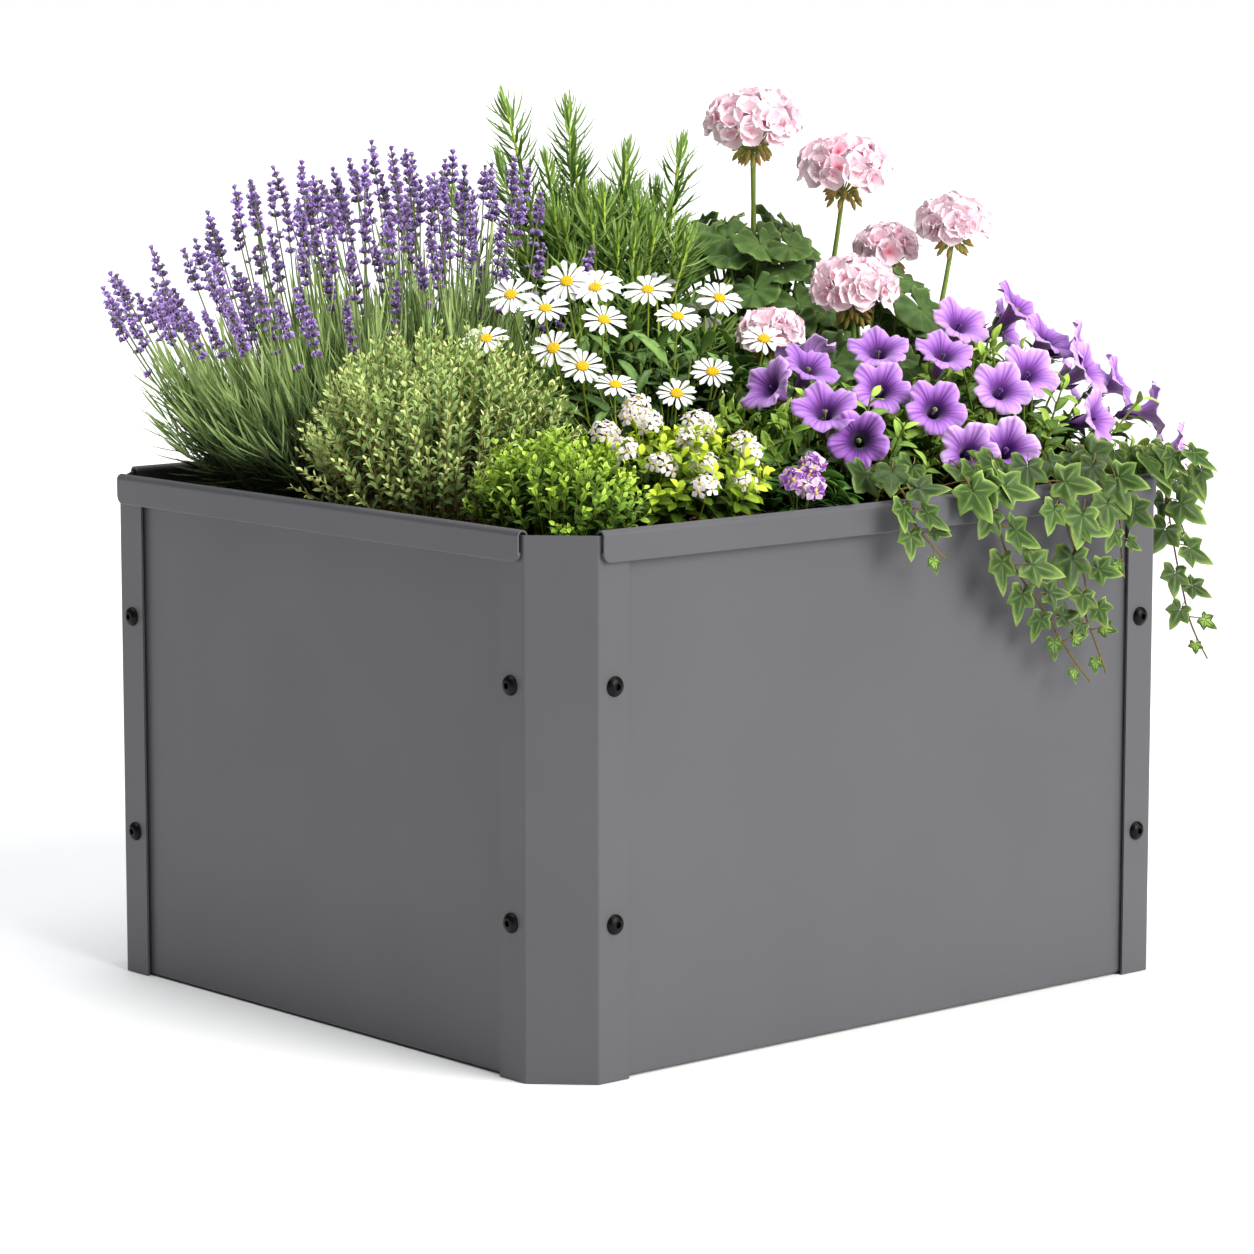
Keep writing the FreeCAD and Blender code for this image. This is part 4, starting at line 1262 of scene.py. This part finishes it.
def petunia(node, blooms, facing, foot, shoots, low, high, top, tints):
    """Flowers at blooms, and leafy shoots from foot with tips between low and high, up to top."""
    blooms, facing = np.asarray(blooms, float), unit(np.asarray(facing, float))
    k = len(blooms)
    facing = jitter(facing, 0.1)
    size = rng.uniform(0.0255, 0.0285, k)
    flowers = Growth()
    flowers.add(petunia_flower(), blooms, spun(facing), size,
                rng.uniform(0.2, 0.85, k), tints + rng.normal(0, 0.03, k))
    bloom = tissue(node + "_bloom", [
        (0.0, 92, 116, 50), (0.09, 130, 142, 70), (0.12, 50, 16, 74),
        (0.26, 88, 36, 120), (0.42, 130, 70, 164), (0.62, 166, 110, 200),
        (0.82, 196, 152, 220), (1.0, 228, 200, 238)],
        dark=0.85, light=1.15, mottle=0.05, Sheen_Weight=0.3)
    flowers.piece(node + "_blooms", bloom, "petunia")

    green = Growth()
    back = blooms - facing * 1.3 * size[:, None]
    ground = feet(back, foot, 0.5)
    green.stems((ground, back - facing * 0.02 - [0, 0, 0.01], back), (0.003, 0.0019), 5, 9,
                shade=0.6)
    blade = thick(leaf(7, 5, lance(0.2, 0.5), curl=0.7, fold=0.28, wave=0.025, waves=1.5,
                       tint=(0.16, 0.0)), 0.012)
    tips = np.concatenate([dome(shoots, low, high, BED + 0.03, top, 3.0, 0.8),
                           dome(LOW_SHOOTS, low, high, BED + 0.01, 0.482, 3.5, 0.6)])
    ahead = facing_viewer(k, 0.0, 0.35)
    seen_first = (blooms + ahead * 0.032)[(facing * ahead).sum(-1) > 0.2]
    open_air = np.concatenate([blooms + facing * 0.02, seen_first])
    tips = tips[np.linalg.norm(tips[:, None] - open_air[None], axis=-1).min(1) > TIP_CLEARANCE]
    runners = arching(feet(tips, foot, 0.5), tips, 0.45, 0.6)
    leafy(green, blade, runners, np.linspace(0.25, 1.0, 11), 1, np.linspace(1.25, 0.5, 11),
          np.linspace(0.034, 0.018, 11), 0.05, 0.95, 0.24, 0.9, 2.3, 0.2,
          clear=(np.concatenate([blooms + facing * 0.012, blooms + facing * 0.038, seen_first]),
                 LEAF_CLEARANCE))
    green.stems(runners, (0.003, 0.0016), 5, 6)
    leaves = tissue(node + "_leaf", [
        (0.0, 112, 132, 50), (0.14, 134, 152, 56), (0.22, 52, 82, 28),
        (0.55, 90, 124, 42), (1.0, 156, 184, 80)],
        dark=0.38, light=1.4, roughness=0.5, relief=0.0002, grain=500.0)
    green.piece(node + "_leaves", leaves, "petunia", node)


petunia("petunia_front",
        [(0.06, -0.15, 0.53), (0.14, -0.15, 0.54), (0.115, -0.18, 0.51), (0.025, -0.205, 0.5),
         (0.035, -0.235, 0.475), (0.205, -0.165, 0.535), (0.135, -0.225, 0.495), (0.14, -0.26, 0.46),
         (0.185, -0.26, 0.46), (0.02, -0.14, 0.515), (0.1, -0.1, 0.535)],
        [(-0.15, -0.6, 0.8), (-0.4, -0.4, 0.85), (-0.35, -0.7, 0.65), (-0.5, -0.55, 0.7), (-0.6, -0.8, 0.3),
         (-0.3, -0.5, 0.8), (-0.45, -0.8, 0.45), (-0.3, -0.9, 0.2), (-0.5, -0.8, 0.4), (-0.8, 0.2, 0.6),
         (0.1, 0.4, 0.9)],
        (0.07, -0.17), 58, (-0.065, -0.265), (0.2, -0.085), 0.515,
        np.array([0.0, 0.0, -0.04, -0.04, -0.05, 0.0, -0.02, 0.1, 0.12, 0.0, 0.0]))
petunia("petunia_right",
        [(0.23, -0.21, 0.505), (0.285, -0.19, 0.515), (0.27, -0.12, 0.555), (0.345, -0.12, 0.565),
         (0.35, -0.15, 0.54), (0.37, -0.17, 0.53), (0.36, -0.19, 0.515), (0.4, -0.19, 0.5),
         (0.415, -0.22, 0.475), (0.425, -0.24, 0.44), (0.33, -0.23, 0.475), (0.36, -0.09, 0.545),
         (0.4, -0.13, 0.5)],
        [(-0.4, -0.8, 0.55), (-0.2, -0.75, 0.65), (-0.1, -0.5, 0.9), (0.4, -0.7, 0.6), (0.2, -0.6, 0.75),
         (0.6, -0.7, 0.4), (0.3, -0.8, 0.5), (0.6, -0.7, 0.35), (0.7, -0.7, 0.2), (0.6, -0.75, 0.1),
         (0.1, -0.95, 0.35), (0.45, -0.75, 0.5), (0.7, -0.7, 0.3)],
        (0.285, -0.165), 66, (0.192, -0.27), (0.415, -0.06), 0.54,
        np.array([0.12, 0.14, 0.1, 0.04, 0.06, 0.1, 0.1, 0.1, 0.1, 0.1, 0.1, 0.12, 0.12]))


# ---- ivy ----
IVY_LOBES = np.radians([-122.0, -60.0, 0.0, 60.0, 122.0])
OVER_RIM, BY_CORNER = 24, 12                   # leaves on the rim, besides the hanging ones
IVY_FRONT = np.array([-0.25, -1.0, 0.0])       # where leaves that hang in front face


def ivy_leaf():
    half = np.radians([8, 20, 33, 46, 60, 70, 84, 97, 110, 122, 136, 152, 170])
    angles = np.concatenate([-half[::-1], [0.0], half])

    def outline(a):
        return np.interp(np.degrees(np.abs(a)),
                         [0, 12, 33, 48, 60, 72, 97, 112, 122, 140, 160, 180],
                         [0.8, 0.6, 0.37, 0.43, 0.55, 0.46, 0.33, 0.38, 0.44, 0.36, 0.24, 0.06])

    def height(share, a):
        return 0.045 * share - 0.06 * share ** 2 + 0.03 * share * np.cos(5.2 * a)

    def tint(share, a):
        vein = near(a, IVY_LOBES, 0.06) * (1 - 0.6 * share)
        edge = 0.38 + 0.12 * np.sin(3 * a + 1)
        return np.maximum(0.34 + 0.28 * vein, 0.34 + edge * np.clip((share - 0.72) / 0.28, 0, 1))

    return thick(round_leaf(angles, 7, outline, height, tint), 0.01, 0.08)


def trail(*points):
    """Stems in a chain that follows these points smoothly."""
    points = np.array(points, float)
    ends = (points[1:-2] + points[2:-1]) / 2
    return (np.vstack([points[:1], ends]), points[1:-1], np.vstack([ends, points[-1:]]))


def ivy_leaves(growth, nodes, ahead, facing, size, petiole, tints, shade):
    """Leaves whose stalks start at nodes; petiole is how far the leaf stands from its node."""
    base = nodes + petiole
    growth.stems((nodes, nodes + petiole * 0.5 + facing * 0.003, base), (0.0013, 0.001), 4, 4,
                 (0.04, 0.1))
    growth.add(ivy_leaf(), base + ahead * 0.12 * size[:, None], turns(ahead, facing), size,
               shade, tints)


def hanging_leaves(growth, stems, t, out, size):
    """Leaves to either side of hanging trails, facing out."""
    at, run = on_stems(stems, t)
    nodes, run = at.reshape(-1, 3), run.reshape(-1, 3)
    k = len(nodes)
    rank = np.linspace(0, 1, k)
    side = np.where(np.arange(k) % 2 == 0, 1.0, -1.0)[:, None]
    out = unit(np.array(out, float))
    across = unit(np.cross(out, run)) * side
    size = size * (1 - 0.6 * np.clip((rank - 0.3) / 0.7, 0, 1)) * rng.uniform(0.85, 1.15, k)
    ahead = jitter(run * 0.75 + across * 0.8 + out * 0.25, 0.2)
    facing = jitter(np.tile(out * 0.9 + UP * 0.3, (k, 1)), 0.22)
    petiole = (across * 0.7 + out * 0.5 + run * 0.25) * rng.uniform(0.007, 0.013, (k, 1))
    ivy_leaves(growth, nodes, ahead, unit(facing), size, petiole,
               np.where(rank > 0.8, -0.12, 0.0) + rng.uniform(-0.03, 0.05, k),
               rng.uniform(0.35, 0.95, k))


def ivy_material(name):
    return tissue(name, [
        (0.0, 104, 88, 48), (0.1, 130, 112, 58), (0.16, 158, 184, 66),
        (0.24, 104, 138, 52), (0.32, 44, 66, 26), (0.5, 76, 102, 42),
        (0.68, 118, 144, 66), (0.86, 166, 184, 110), (1.0, 204, 212, 152)],
        dark=0.38, light=1.35, roughness=0.45, mottle=0.14, relief=0.0002, grain=300.0)


def ivy_front():
    low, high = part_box("ivy_front")
    hang = LIP_FACE - 0.012
    growth = Growth()
    trails = [
        (trail((0.02, -0.27, 0.43), (0.0, -0.31, 0.45), (0.0, hang, 0.44), (0.005, hang, 0.42),
               (0.02, hang - 0.005, 0.4), (0.04, hang - 0.005, 0.385)), 0.034),
        (trail((0.07, -0.27, 0.43), (0.095, -0.31, 0.45), (0.105, hang, 0.43), (0.11, hang, 0.39),
               (0.13, hang - 0.005, 0.36), (0.155, hang - 0.005, 0.335), (0.175, hang, 0.315),
               (0.19, hang, 0.295), (0.22, hang, 0.265)), 0.038),
        (trail((0.15, -0.27, 0.43), (0.17, -0.31, 0.45), (0.175, hang, 0.43), (0.19, hang - 0.005, 0.385),
               (0.205, hang - 0.01, 0.35), (0.205, hang - 0.005, 0.325), (0.225, hang, 0.3),
               (0.24, hang, 0.27)), 0.036),
        (trail((0.23, -0.27, 0.43), (0.235, -0.31, 0.45), (0.24, hang, 0.43), (0.25, hang - 0.005, 0.4),
               (0.25, hang - 0.005, 0.375), (0.26, hang, 0.35)), 0.036),
    ]
    for stems, size in trails:
        growth.stems(stems, (0.0018, 0.0018), 5, 6, (0.02, 0.06))
        hanging = tuple(x[1:] for x in stems)
        hanging_leaves(growth, hanging, [0.1, 0.6], IVY_FRONT, size)
    x = scattered(OVER_RIM, (low[0] + 0.015, 0), (high[0] - 0.025, 1))
    s, x = x[:, 1], x[:, 0]
    over_y = np.interp(s, [0, 0.4, 0.75, 1.0],
                       [-0.262, LIP_FACE + 0.01, LIP_FACE - 0.016, LIP_FACE - 0.026])
    over_z = np.interp(s, [0, 0.4, 0.75, 1.0], [0.452, 0.462, 0.446, 0.408])
    thin_out = (s < 0.82) | (rng.uniform(size=OVER_RIM) < 0.5)
    nodes = np.column_stack([x, over_y, over_z])[thin_out]
    s = s[thin_out]
    tilt = np.interp(s, [0, 0.4, 1.0], [0.5, 0.9, 1.35])[:, None]
    facing = jitter(np.sin(tilt) * unit(IVY_FRONT) + np.cos(tilt) * UP, 0.28)
    ahead = np.column_stack([rng.normal(0, 0.8, len(s)), -np.cos(tilt), -np.sin(tilt)])
    ahead = jitter(ahead, 0.1)
    size = rng.uniform(0.03, 0.046, len(s))
    stalk = unit(ahead) * 0.01
    # painted shade: leaves on the bed side of the rim are darker, and those hanging out over the lip
    # lighter
    ivy_leaves(growth, nodes - stalk - facing * 0.004, ahead, facing, size, stalk,
               rng.uniform(-0.04, 0.06, len(s)),
               np.clip(0.2 + 0.55 * s + rng.normal(0, 0.22, len(s)), 0, 1))
    growth.piece("ivy_front_trails", ivy_material("ivy_front_leaf"), "ivy", "ivy_front")


def ivy_side():
    hang = END_FACE + 0.009
    growth = Growth()
    first = trail((0.325, -0.26, 0.43), (0.35, -0.265, 0.45), (hang, -0.27, 0.43), (hang, -0.28, 0.39),
                  (hang + 0.005, -0.285, 0.35), (hang + 0.01, -0.29, 0.32), (hang + 0.015, -0.295, 0.29),
                  (hang + 0.025, -0.305, 0.265))
    second = trail((0.33, -0.25, 0.43), (0.355, -0.25, 0.45), (hang + 0.01, -0.25, 0.435),
                   (hang + 0.015, -0.26, 0.41), (hang + 0.025, -0.27, 0.385), (hang + 0.03, -0.275, 0.365))
    for stems, size in ((first, 0.036), (second, 0.034)):
        growth.stems(stems, (0.0018, 0.0016), 5, 6, (0.02, 0.06))
        hanging_leaves(growth, tuple(x[2:] for x in stems), [0.1, 0.6], (-0.2, -0.9, 0.0), size)
    plan = scattered(BY_CORNER, (0.33, -0.325), (0.37, -0.25))
    nodes = np.column_stack([plan, 0.458 - 0.9 * np.maximum(0, plan[:, 0] - 0.345)])
    count = len(nodes)
    facing = jitter(np.tile([-0.1, -0.8, 0.6], (count, 1)), 0.3)
    ahead = jitter(np.column_stack([rng.uniform(-0.4, 0.6, count), rng.normal(-0.3, 0.4, count),
                                    np.full(count, -0.8)]), 0.1)
    ivy_leaves(growth, nodes, ahead, facing, rng.uniform(0.026, 0.038, count), unit(ahead) * 0.008,
               rng.uniform(-0.04, 0.06, count), rng.uniform(0.3, 0.95, count))
    growth.piece("ivy_side_trails", ivy_material("ivy_side_leaf"), "ivy", "ivy_side")


ivy_front()
ivy_side()
